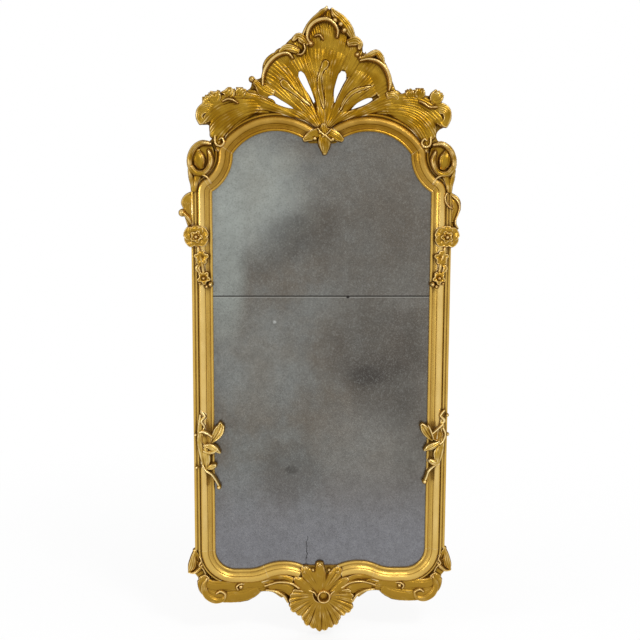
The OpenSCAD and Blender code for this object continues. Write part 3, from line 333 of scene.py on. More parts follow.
@dataclass(frozen=True)
class Gilding:
    """Old water gilding on carving: dull clay and painted shade in the hollows, rubbed leaf and a
    painted highlight on the ridges.
    """

    name: str
    leaf: Colour = (0.235, 0.117, 0.004)
    pale_leaf: Colour = (0.345, 0.200, 0.018)
    low_leaf: Colour | None = None
    # Dark colour of the hollows, for clay and dirt and for painted shade.
    clay_and_shade: Colour = (0.105, 0.037, 0.001)
    # Pale colour of the ridges, for rubbed leaf and for a painted highlight.
    rubbed_highlight: Colour = (0.82, 0.60, 0.25)
    glint: Colour = (1.0, 0.78, 0.34)
    # Share of that dark colour, clay and dirt with painted shade, in the deepest hollows.
    dirt_and_shade: float = 0.92
    roughness: float = 0.36
    grain: Colour = (1.0, 1.0, 1.0)
    broad_scale: float = 17.0
    patch_scale: float = 62.0
    fine_scale: float = 520.0
    shoulder: float = 0.20
    crest: float = 0.42
    patch_depth: float = 0.0022
    fine_depth: float = 0.0006
    grit: float = 0.35

    def shade_and_wear(self, bench: Bench) -> tuple[Wire, Wire]:
        """Where the leaf lies in a hollow, which takes painted shade, and where it stands on a
        ridge, which takes a painted highlight.

        Args:
            bench: The material under construction.

        Returns:
            Both as values from 0 to 1.
        """
        hollow, ridge = (
            bench.node("ShaderNodeAttribute", {"attribute_name": name}, out="Fac")
            for name in ("hollow", "ridge")
        )
        return hollow, ridge

    def lit(self, bench: Bench, gold: Wire, point: Wire, patch: Wire) -> Wire:
        """Leaf with a painted highlight by its place on the frame: on carving, nothing more."""
        return gold

    def backed(
        self, bench: Bench, point: Wire, gold: Wire, rough: Wire, metal: Wire
    ) -> tuple[Wire, Wire, Wire]:
        """Colour, roughness and metal with what shows at the back: on carving, nothing more."""
        return gold, rough, metal

    def material(self) -> bpy.types.Material:
        """Makes the material.

        Returns:
            The gilding.
        """
        bench = Bench(self.name)
        point = bench.place()
        along = bench.stretched(point, self.grain)
        broad = bench.noise(point, self.broad_scale, 3.0)
        patch = bench.noise(along, self.patch_scale, 4.0, 0.6)
        fine = bench.noise(along, self.fine_scale, 3.0, 0.6)
        hollow, ridge = self.shade_and_wear(bench)
        # Painted shade, with clay and dirt: the hollow mark, broken by patches, darkens the leaf
        # below.
        shaded_hollow = (hollow * (0.75 + patch * 0.5)).spread(0.08, 0.85)
        # Painted highlight, with rubbed leaf: the ridge mark, broken by patches, paints the ridges
        # pale.
        worn_highlight = (ridge * (0.55 + patch * 0.9)).spread(0.25, 0.95)
        gold = bench.mix(broad.spread(0.36, 0.66), self.leaf, self.pale_leaf)
        if self.low_leaf:
            up = bench.axes(point)[2] + (broad - 0.5) * 0.08
            low = bench.mix(broad.spread(0.4, 0.7) * 0.3, self.low_leaf, gold)
            gold = bench.mix(up.spread(self.shoulder, self.crest), low, gold)
        else:
            gold = bench.mix(patch.spread(0.35, 0.75) * 0.45, gold, self.leaf)
        # Painted highlight on the ridges, over rubbed leaf.
        gold = bench.mix(worn_highlight * 0.75, gold, self.rubbed_highlight)
        gold = self.lit(bench, gold, point, patch)
        # Painted shade over clay and dirt in the hollows.
        gold = bench.mix(shaded_hollow * self.dirt_and_shade, gold, self.clay_and_shade)
        gold = bench.mix(fine.spread(0.62, 0.8) * 0.25, gold, self.clay_and_shade)
        rough = self.roughness + shaded_hollow * 0.28 + (patch - 0.5) * 0.22 - worn_highlight * 0.06
        metal = 0.9 - shaded_hollow * 0.45
        gold, rough, metal = self.backed(bench, point, gold, rough, metal)
        hills = bench.bump(patch, self.patch_depth, 0.35)
        normal = bench.bump(fine, self.fine_depth, self.grit, hills)
        return bench.surface(
            Base_Color=gold, Roughness=rough, Metallic=metal, Normal=normal,
            Specular_Tint=self.glint,
        )


@dataclass(frozen=True)
class MouldingGilding(Gilding):
    """Brighter gilding of the smooth mouldings, rubbed pale and given a painted highlight along
    their crown beside the glass.
    """

    leaf: Colour = (0.32, 0.163, 0.011)
    pale_leaf: Colour = (0.43, 0.24, 0.03)
    low_leaf: Colour | None = (0.62, 0.40, 0.09)
    # Its hollows take less painted shade, and its ridges a paler painted highlight, than the
    # carving's.
    clay_and_shade: Colour = (0.13, 0.052, 0.004)
    rubbed_highlight: Colour = (1.0, 0.84, 0.50)
    # Colour of the painted highlight along the crown.
    crown_highlight: Colour = (0.98, 0.76, 0.36)
    dirt_and_shade: float = 0.75
    roughness: float = 0.34
    grit: float = 0.22
    crease_reach: float = 0.024
    edge_reach: float = 0.0025
    crown_foot: float = 0.0465
    crown_top: float = 0.0525

    def shade_and_wear(self, bench: Bench) -> tuple[Wire, Wire]:
        """Hollows, which take painted shade, and ridges, which take a painted highlight, of a CAD
        shape, found by how open each point lies.

        Args:
            bench: The material under construction.

        Returns:
            Both as values from 0 to 1.
        """
        # Creases found by ambient occlusion take clay and painted shade; edges take rubbed leaf and
        # a painted highlight.
        hollow = bench.openness(self.crease_reach).spread(0.95, 0.35)
        ridge = bench.openness(self.edge_reach, inside=True).spread(0.75, 0.35)
        return hollow, ridge

    def lit(self, bench: Bench, gold: Wire, point: Wire, patch: Wire) -> Wire:
        """Leaf rubbed pale and given a painted highlight along the crown, most beside the glass.

        Args:
            bench: The material under construction.
            gold: Colour of the leaf.
            point: The point on the object.
            patch: Noise in patches.

        Returns:
            The colour.
        """
        _, depth, level = bench.axes(point)
        # Painted highlight: the frontmost crown of the mouldings is painted pale, most along the
        # stiles beside the glass.
        crown_highlight = (depth * -1.0).spread(self.crown_foot, self.crown_top)
        beside = level.spread(0.34, 0.20) * level.spread(-0.80, -0.66)
        share = crown_highlight * (patch * 0.45 + 0.1) * (beside * 0.75 + 0.2)
        return bench.mix(share, gold, self.crown_highlight)


@dataclass(frozen=True)
class StileGilding(MouldingGilding):
    """Gilding of the stiles, drawn out along them, with bare pine at their back."""

    roughness: float = 0.24
    grain: Colour = (1.0, 1.0, 0.35)
    back_depth: float = -0.0125

    def backed(
        self, bench: Bench, point: Wire, gold: Wire, rough: Wire, metal: Wire
    ) -> tuple[Wire, Wire, Wire]:
        """Colour, roughness and metal with bare pine where the stile faces the wall.

        Args:
            bench: The material under construction.
            point: The point on the object.
            gold: Colour of the gilding.
            rough: Its roughness.
            metal: Its metal.

        Returns:
            The three, with the pine.
        """
        depth = bench.axes(point)[1]
        bare = bench.maths("MAXIMUM", bench.facing() > 0.5, depth > self.back_depth)
        figure = bench.noise(bench.stretched(point, Grain.ALONG_Z.value), 60.0, 4.0)
        wood = bench.mix(figure, PINE_PALE, PINE_DARK)
        return bench.mix(bare, gold, wood), rough + bare * 0.25, metal * (1.0 - bare)


class Grain(Enum):
    """The way that the wood's grain runs."""

    ALONG_X = (0.10, 1.0, 1.0)
    ALONG_Z = (1.0, 1.0, 0.10)


@dataclass(frozen=True)
class OldPine:
    """Bare pine, browned by age, with dust and stains."""

    name: str
    grain: Grain
    pale: Colour = PINE_PALE
    dark: Colour = PINE_DARK
    stain: Colour = (0.115, 0.068, 0.034)
    dust: Colour = (0.10, 0.065, 0.035)
    ring_scale: float = 46.0
    pore_scale: float = 640.0
    ring_depth: float = 0.0009
    pore_depth: float = 0.0006

    def gilded(
        self, bench: Bench, point: Wire, wood: Wire, rough: Wire, noises: tuple[Wire, Wire]
    ) -> tuple[Wire, Wire, "Wire | float"]:
        """Colour, roughness and metal with any gilding: on bare pine, none."""
        return wood, rough, 0.0

    def material(self) -> bpy.types.Material:
        """Makes the material.

        Returns:
            The pine.
        """
        bench = Bench(self.name)
        point = bench.place()
        along = bench.stretched(point, self.grain.value)
        drift = bench.noise(along, 11.0, 3.0)
        rings = bench.node(
            "ShaderNodeTexWave",
            {"wave_type": "BANDS", "bands_direction": "DIAGONAL"},
            {
                "Vector": along, "Scale": self.ring_scale, "Distortion": 9.0,
                "Detail": 4.0, "Detail Scale": 0.9,
            },
            out="Fac",
        )
        pores = bench.noise(along, self.pore_scale, 3.0, 0.7)
        dust = bench.noise(point, 9.0, 4.0)
        stain = bench.noise(point, 3.1, 3.0, 0.6)
        wood = bench.mix(rings.spread(0.15, 1.0) * 0.5 + drift * 0.5, self.pale, self.dark)
        wood = bench.mix(stain.spread(0.45, 0.68) * 0.45, wood, self.stain)
        wood = bench.mix(pores.spread(0.55, 0.75) * 0.5, wood, self.dark)
        wood = bench.mix(dust.spread(0.45, 0.75) * 0.35, wood, self.dust)
        wood, rough, metal = self.gilded(bench, point, wood, 0.62 + pores * 0.2, (pores, drift))
        figure = bench.bump(rings, self.ring_depth, 0.25)
        normal = bench.bump(pores, self.pore_depth, 0.3, figure)
        return bench.surface(Base_Color=wood, Roughness=rough, Metallic=metal, Normal=normal)


@dataclass(frozen=True)
class GildedPine(OldPine):
    """Pine of a board whose front is gilded where it shows between the carving."""

    leaf: Colour = (0.20, 0.105, 0.006)
    pale_leaf: Colour = (0.29, 0.165, 0.015)
    wash: Colour = (0.36, 0.20, 0.045)
    thin_wash: Colour = (0.24, 0.12, 0.025)
    front_depth: float = -0.0275
    side_depth: float = -0.0135

    def gilded(
        self, bench: Bench, point: Wire, wood: Wire, rough: Wire, noises: tuple[Wire, Wire]
    ) -> tuple[Wire, Wire, "Wire | float"]:
        """Colour, roughness and metal with leaf on the front and a wash on the sides.

        Args:
            bench: The material under construction.
            point: The point on the object.
            wood: Colour of the pine.
            rough: Its roughness.
            noises: Pores and drift of the wood.

        Returns:
            The three, with the gilding.
        """
        pores, drift = noises
        depth, facing = bench.axes(point)[1], bench.facing()
        front = (facing < -0.5) * (depth < self.front_depth)
        side = (abs(facing) < 0.5) * (depth < self.side_depth)
        leaf = bench.mix(pores.spread(0.3, 0.7), self.leaf, self.pale_leaf)
        wood = bench.mix(side, wood, bench.mix(drift, self.wash, self.thin_wash))
        wood = bench.mix(front, wood, leaf)
        return wood, rough - front * 0.22 - side * 0.1, front * 0.75 + side * 0.3


DARK_SILVER: Colour = (0.050, 0.045, 0.040)
PALE_SPECK: Colour = (0.36, 0.37, 0.35)


class Patch(NamedTuple):
    """A soft patch on the plates: middle, half width and half height in mm, and how it shows."""

    x: float
    z: float
    wide: float
    high: float
    share: float = 1.0
    tone: Colour = DARK_SILVER
    ragged: bool = False


@dataclass(frozen=True)
class OldSilvering:
    """Silvered glass gone grey, with clouds, a cold haze towards the foot and fine speckles; its
    pale haze at the upper left and its pale patches are painted reflection of the room.
    """

    name: str
    bright: Colour = (0.185, 0.190, 0.180)
    warm: Colour = (0.145, 0.126, 0.102)
    cold: Colour = (0.205, 0.205, 0.220)
    # A pale blotch at the upper left: painted reflection, which also dulls the silvering.
    haze_and_reflection: Patch = Patch(-215, 290, 210, 210, 0.5, (0.37, 0.405, 0.37))
    # Clouds on the plates; the pale-toned ones are painted reflection of the room.
    patches: tuple[Patch, ...] = (
        Patch(-285, 130, 80, 310, 0.75, (0.30, 0.325, 0.30)),
        Patch(-45, 190, 120, 95, 0.32),
        Patch(-110, 165, 95, 90, 0.34),
        Patch(195, -300, 110, 120, 0.36),
        Patch(255, -330, 60, 330, 0.22),
        Patch(-180, 100, 70, 60, 0.2),
        Patch(170, -140, 190, 150, 0.34),
        Patch(140, -225, 110, 70, 0.3),
        Patch(-85, -520, 120, 110, 0.32),
        Patch(150, 120, 190, 220, 0.16),
        Patch(128, -232, 62, 34, 0.65, ragged=True),
        Patch(-86, -513, 22, 17, 0.6, ragged=True),
        Patch(-60, 215, 40, 24, 0.2, ragged=True),
        Patch(140, -440, 190, 150, 0.16, (0.33, 0.34, 0.33)),
        Patch(-190, -200, 150, 190, 0.25, (0.30, 0.31, 0.29)),
    )
    chip: Patch = Patch(75, -2, 6, 5, tone=(0.02, 0.018, 0.016))
    spot: Patch = Patch(-135, -75, 7, 6, 0.8, (0.42, 0.43, 0.41))
    crack_tone: Colour = (0.012, 0.011, 0.010)
    crack_foot: tuple[float, float] = (-0.040, -0.74)
    crack_top: float = -0.715
    joint_half: float = 0.0018
    # Colour of the painted highlight along the bevel.
    bevel_highlight_tone: Colour = (0.42, 0.41, 0.37)
    bevel_level: float = -0.0032
    bevel_half: float = 0.0013

    @staticmethod
    def cloud(parts: tuple[Wire, Wire, Wire], patch: Patch, drift: Wire) -> Wire:
        """Where a patch lies.

        Args:
            parts: The point's three numbers.
            patch: The patch.
            drift: Noise that breaks its edge.

        Returns:
            1 in the middle, 0 outside.
        """
        across = (parts[0] - patch.x * MM) / (patch.wide * MM)
        up = (parts[2] - patch.z * MM) / (patch.high * MM)
        return (across * across + up * up + (drift - 0.5) * 1.6).spread(1.1, 0.05)

    def _speckled(self, bench: Bench, point: Wire, tone: Wire, mottle: Wire) -> Wire:
        """The tone with its grain and specks.

        Args:
            bench: The material under construction.
            point: The point on the object.
            tone: Colour of the silvering.
            mottle: Noise of middle size.

        Returns:
            The colour.
        """
        grain = bench.noise(point, 230.0, 2.0, 0.6)
        speck = bench.noise(point, 420.0, 2.0, 0.6)
        tone = bench.mix(grain.spread(0.5, 0.72) * 0.30, tone, DARK_SILVER)
        tone = bench.mix(grain.spread(0.5, 0.30) * 0.22, tone, PALE_SPECK)
        tone = bench.mix(mottle.spread(0.35, 0.7) * 0.18, tone, DARK_SILVER)
        return bench.mix(speck.spread(0.66, 0.76) * 0.5, tone, PALE_SPECK)

    def _broken(
        self, bench: Bench, point: Wire, parts: tuple[Wire, Wire, Wire], tone: Wire, mottle: Wire
    ) -> Wire:
        """The tone with the crack at the foot, a painted highlight along the bevel, the joint of
        the plates and its chip.

        Args:
            bench: The material under construction.
            point: The point on the object.
            parts: Its three numbers.
            tone: Colour of the silvering.
            mottle: Noise of middle size.

        Returns:
            The colour.
        """
        x, _, height = parts
        start, level = self.crack_foot
        wander = (bench.noise(point, 55.0, 3.0) - 0.5) * 0.014
        off = x - start + wander - (height - level) * 0.03
        crack = (abs(off) < 0.0009) * (height < self.crack_top)
        tone = bench.mix(crack * 0.9, tone, self.crack_tone)
        # Painted highlight: a pale line just below the joint, for the light on the plate's bevel.
        bevel_highlight = (abs(height - self.bevel_level) < self.bevel_half) * 0.35
        tone = bench.mix(bevel_highlight, tone, self.bevel_highlight_tone)
        joint = (abs(height) < self.joint_half) * 0.9
        lost = bench.maths("MAXIMUM", self.cloud(parts, self.chip, mottle), joint)
        return bench.mix(lost, tone, self.chip.tone)

    def material(self) -> bpy.types.Material:
        """Makes the material.

        Returns:
            The silvering.
        """
        bench = Bench(self.name)
        point = bench.place()
        parts = bench.axes(point)
        drift = bench.noise(point, 6.5, 5.0, 0.6)
        mottle = bench.noise(point, 38.0, 4.0, 0.65)
        tone = bench.mix(drift.spread(0.3, 0.7), self.warm, self.bright)
        tone = bench.mix(parts[0].spread(-0.12, 0.22) * 0.6, tone, self.warm)
        tone = bench.mix(parts[2].spread(-0.45, -0.75), tone, self.cold)
        # Painted reflection: a pale blotch at the upper left, which also makes the silvering
        # rougher and less metallic.
        haze_and_reflection = self.cloud(parts, self.haze_and_reflection, drift)
        tone = bench.mix(haze_and_reflection * self.haze_and_reflection.share, tone, self.haze_and_reflection.tone)
        for patch in self.patches:
            lying = self.cloud(parts, patch, mottle if patch.ragged else drift)
            tone = bench.mix(lying * patch.share, tone, patch.tone)
        tone = self._speckled(bench, point, tone, mottle)
        tone = self._broken(bench, point, parts, tone, mottle)
        spot = self.cloud(parts, self.spot, mottle) * self.spot.share
        tone = bench.mix(spot, tone, self.spot.tone)
        return bench.surface(
            Base_Color=tone,
            Roughness=0.16 + mottle * 0.16 + haze_and_reflection * 0.1,
            Metallic=0.82 - haze_and_reflection * 0.3,
            Normal=bench.bump(drift, 0.006, 0.06),
        )


@dataclass(frozen=True)
class OldIron:
    """Forged iron, blackened, with brown rust in patches and bright edges."""

    name: str
    black: Colour = (0.045, 0.042, 0.040)
    rust: Colour = (0.16, 0.062, 0.024)
    bright: Colour = (0.22, 0.20, 0.18)
    edge_reach: float = 0.002
    pit_depth: float = 0.0004

    def material(self) -> bpy.types.Material:
        """Makes the material.

        Returns:
            The iron.
        """
        bench = Bench(self.name)
        point = bench.place()
        patch = bench.noise(point, 90.0, 5.0, 0.65)
        pits = bench.noise(point, 700.0, 3.0, 0.6)
        edge = bench.openness(self.edge_reach, inside=True).spread(0.8, 0.4)
        rusty = (patch + (pits - 0.5) * 0.3).spread(0.46, 0.62)
        tone = bench.mix(rusty, self.black, self.rust)
        tone = bench.mix(edge * 0.5, tone, self.bright)
        return bench.surface(
            Base_Color=tone,
            Roughness=0.42 + rusty * 0.4,
            Metallic=0.9 - rusty * 0.75,
            Normal=bench.bump(pits, self.pit_depth, 0.5),
        )


# ---- Carving ----

Point = tuple[float, float, float, float]
Band = Sequence[tuple[float, float, float]]
Grid = np.ndarray


@dataclass(frozen=True)
class Gouge:
    """How the carving is cut: lengths in mm, and shares of other lengths."""

    pitch: float = 1.05
    path_step: float = 1.5
    reed: float = 6.6
    reed_depth: float = 2.4
    edge: float = 2.4
    end_round: float = 6.0
    field_width: float = 21.0
    field_round: float = 26.0
    blend: float = 6.0
    soft_blend: float = 2.0
    tuft_spread: float = 1.3
    wall_inset: float = 1.2
    wall_bulge: float = 0.25
    least_width: float = 0.6
    roll_foot: float = 0.46
    edge_foot: float = 0.62
    rim_share: float = 0.84
    dish_share: float = 0.68
    dish_rise: float = 0.55
    vein_width: float = 4.5
    vein_line: float = 1.2
    vein_depth: float = 1.3
    vein_hollow: float = 0.4
    strip_rise: float = 1.8
    strip_line: float = 2.6
    line_width: float = 1.1
    least_left: float = 0.35
    softening: float = 0.4
    wander: float = 0.25
    thinnest: float = 1.0
    rim_height: float = 0.93
    wall_height: float = 0.55
    back_inset: float = 0.3
    margin: float = 0.6


GOUGE = Gouge()


class Mark(NamedTuple):
    """How a difference of height shows: passes of blur it is taken over, full depth, share."""

    passes: int
    full: float
    share: float

    def shown(self, upper: Grid, lower: Grid) -> Grid:
        """How strongly each point shows where one surface stands above another."""
        return np.clip((upper - lower) / self.full, 0, 1) * self.share


# Marks for the gilding: in the hollows it lays clay and painted shade, on the ridges rubbed leaf
# and a painted highlight.
HOLLOWS = (Mark(40, 8.0, 0.7), Mark(5, 1.0, 0.6))
RIDGES = (Mark(5, 0.8, 0.85), Mark(40, 9.0, 0.12))
SHARP_ANGLE = math.radians(62)


class Stroke(NamedTuple):
    """One cut: reeds at its narrow end, hollow from 0 to 1, points (x, y, half width, height)."""

    reeds: int
    hollow: float
    path: tuple[Point, ...]

    @property
    def widest(self) -> float:
        """Its greatest half width."""
        return max(point[2] for point in self.path)


class Boss(NamedTuple):
    """A round knob, or a small flower or tuft if it has petals."""

    x: float
    y: float
    radius: float
    height: float
    petals: int = 0


def roll(*path: Point) -> Stroke:
    """A plain round roll."""
    return Stroke(0, 0, path)


def dish(hollow: float, *path: Point) -> Stroke:
    """A hollow between two rims."""
    return Stroke(0, hollow, path)


def leaf(reeds: int, hollow: float, *path: Point) -> Stroke:
    """A leaf with reeds along it."""
    return Stroke(reeds, hollow, path)


@dataclass(frozen=True)
class Whorl:
    """Broad petals that spring from one point, each (angle, reach, half width)."""

    x: float
    y: float
    base: float
    rise: float
    petals: tuple[tuple[float, float, float], ...]
    hollow: float = 0.42
    profile: tuple[tuple[float, float, float], ...] = (
        (0.2, 0.5, 0.0), (0.65, 1.0, 0.8), (1.0, 1.0, 1.0), (1.25, 0.8, 0.75),
    )

    def strokes(self) -> tuple[Stroke, ...]:
        """The petals, which rise and widen by the shares of the profile.

        Returns:
            One dish to a petal.
        """
        strokes = []
        for angle, reach, wide in self.petals:
            c, d = math.cos(math.radians(angle)), math.sin(math.radians(angle))
            strokes.append(dish(self.hollow, *(
                (self.x + out * reach * c, self.y + out * reach * d, part * wide,
                    self.base + lift * self.rise)
                for out, part, lift in self.profile
            )))
        return tuple(strokes)


@dataclass(frozen=True)
class Work:
    """The drawing of one carving: its strokes and its bosses, which are tufts if it is leafy."""

    strokes: tuple[Stroke, ...]
    bosses: tuple[Boss, ...] = ()
    leafy: bool = False

    def mirrored(self) -> "Work":
        """The same carving for the other side.

        Returns:
            The carving.
        """
        strokes = tuple(
            stroke._replace(path=tuple((-x, *rest) for x, *rest in stroke.path))
            for stroke in self.strokes
        )
        return Work(strokes, tuple(b._replace(x=-b.x) for b in self.bosses), self.leafy)

    def slimmer(self, share: float, widest: float = 13.0) -> "Work":
        """The same carving with its plain cords made slimmer.

        Args:
            share: Share of their width that is kept.
            widest: Half width below which a plain roll counts as a cord.

        Returns:
            The carving.
        """
        strokes = tuple(
            stroke._replace(path=tuple((x, y, w * share, h) for x, y, w, h in stroke.path))
            if not stroke.reeds and not stroke.hollow and stroke.widest < widest
            else stroke
            for stroke in self.strokes
        )
        return Work(strokes, self.bosses, self.leafy)

    def middle(self) -> np.ndarray:
        """Middle of the strokes' points."""
        return np.array([point[:2] for stroke in self.strokes for point in stroke.path]).mean(0)


class Fan(NamedTuple):
    """Ribs about a hub: start radius, (angle, reach) pairs, heights at the hub and the rim.

    Lines are cut along the ribs, each set given by its number to a rib and its depth.
    """

    hub: tuple[float, float]
    start: float
    reach: Sequence[tuple[float, float]]
    ribs: int
    heights: tuple[float, float]
    sag: float = 5.0
    scallop: float = 0.045
    rib_depth: float = 0.16
    edge: float = 4.0
    edge_drop: float = 0.45
    lines: tuple[tuple[float, float], ...] = ((1.5, 1.6), (3, 1.2), (6, 0.5))


@dataclass(frozen=True)
class Flow:
    """Reeds that spring from a hub and bend outward over a field, as in a palm leaf.

    A calm spot (x, y, radius) is left without reeds.
    """

    hub: tuple[float, float] = (3.0, 462.0)
    bend: float = 0.16
    reach: float = 250.0
    reeds: float = 6.0
    groups: float = 13.0
    swell: float = 2.6
    calm: tuple[float, float, float] | None = None
    waver: float = 0.012
    unevenness: float = 0.28
    calm_edge: float = 18.0

    def depth(self, x: Grid, y: Grid, gouge: Gouge) -> Grid:
        """Depth of the lines between the reeds, in mm.

        Args:
            x: Places across.
            y: Places up.
            gouge: How the carving is cut.

        Returns:
            The depth at each place.
        """
        dx, dy = x - self.hub[0], y - self.hub[1]
        away = np.hypot(dx, dy)
        label = np.arctan2(dx, dy) / (1 + self.bend * (away / self.reach) ** 2)
        label = label + self.waver * np.sin(away / 23.0 + 5 * label)
        split = parted(away / (gouge.reed * self.reeds))
        whole = np.floor(split)
        share = soft_step((split - whole - 0.3) / 0.7)
        depth = np.zeros_like(away)
        for extra, weight in ((0, 1 - share), (1, share)):
            count = self.reeds * 2 ** (whole + extra)
            wave = np.abs(np.sin(math.pi * count * label))
            uneven = np.sin(count * label * 1.7 + away / 61.0)
            uneven = 1 - self.unevenness + self.unevenness * uneven
            width = np.minimum(away / count, gouge.reed)
            line = (1 - wave**0.75) * uneven * gouge.reed_depth
            depth = depth + weight * line * width / gouge.reed
        groups = np.abs(np.sin(self.groups * label + 0.5 * np.sin(away / 37.0)))
        depth = depth + self.swell * (1 - groups**0.8) * np.clip(away / 60.0 - 0.6, 0, 1)
        if self.calm:
            x0, y0, radius = self.calm
            depth = depth * soft_step((np.hypot(x - x0, y - y0) - radius) / self.calm_edge)
        return depth


def eased(path: Sequence[Point], step: float) -> np.ndarray:
    """Runs a smooth curve through a stroke's points.

    Args:
        path: Points (x, y, half width, height).
        step: Distance between the new points, in mm.

    Returns:
        The new points, one to a row.
    """
    points = np.asarray(path, float)
    last = len(points) - 1
    rows = []
    for i in range(last):
        a, b, c, d = (points[min(max(i + k, 0), last)] for k in (-1, 0, 1, 2))
        count = max(1, math.ceil(math.hypot(*(c - b)[:2]) / step))
        t = (np.arange(count) / count)[:, None]
        square, cube = 2 * a - 5 * b + 4 * c - d, 3 * b - a - 3 * c + d
        rows.append(0.5 * (2 * b + (c - a) * t + square * t**2 + cube * t**3))
    return np.vstack([*rows, points[-1:]])


def soft_step(value: Grid) -> Grid:
    """Eases 0 to 1."""
    value = np.clip(value, 0.0, 1.0)
    return value * value * (3.0 - 2.0 * value)


def parted(wideness: Grid) -> Grid:
    """How often a reed has parted in two, where there is room for so many reeds' widths."""
    return np.maximum(np.log2(np.maximum(wideness, 1.0)), 0.0)


def blurred(values: Grid, passes: int) -> Grid:
    """Softens a grid with a small kernel.

    Args:
        values: The grid.
        passes: How often it is softened.

    Returns:
        The softened grid.
    """
    for _ in range(passes):
        padded = np.pad(values, 1, mode="edge")
        values = (padded[:-2, 1:-1] + 2 * padded[1:-1, 1:-1] + padded[2:, 1:-1]) / 4
        padded = np.pad(values, 1, mode="edge")
        values = (padded[1:-1, :-2] + 2 * padded[1:-1, 1:-1] + padded[1:-1, 2:]) / 4
    return values


class Beside(NamedTuple):
    """The part of a grid about a stroke, and where its points lie from the stroke.

    Across runs from -1 to 1 between the edges; wide and high are the stroke's there.
    """

    rows: slice
    columns: slice
    across: Grid
    wide: Grid
    high: Grid


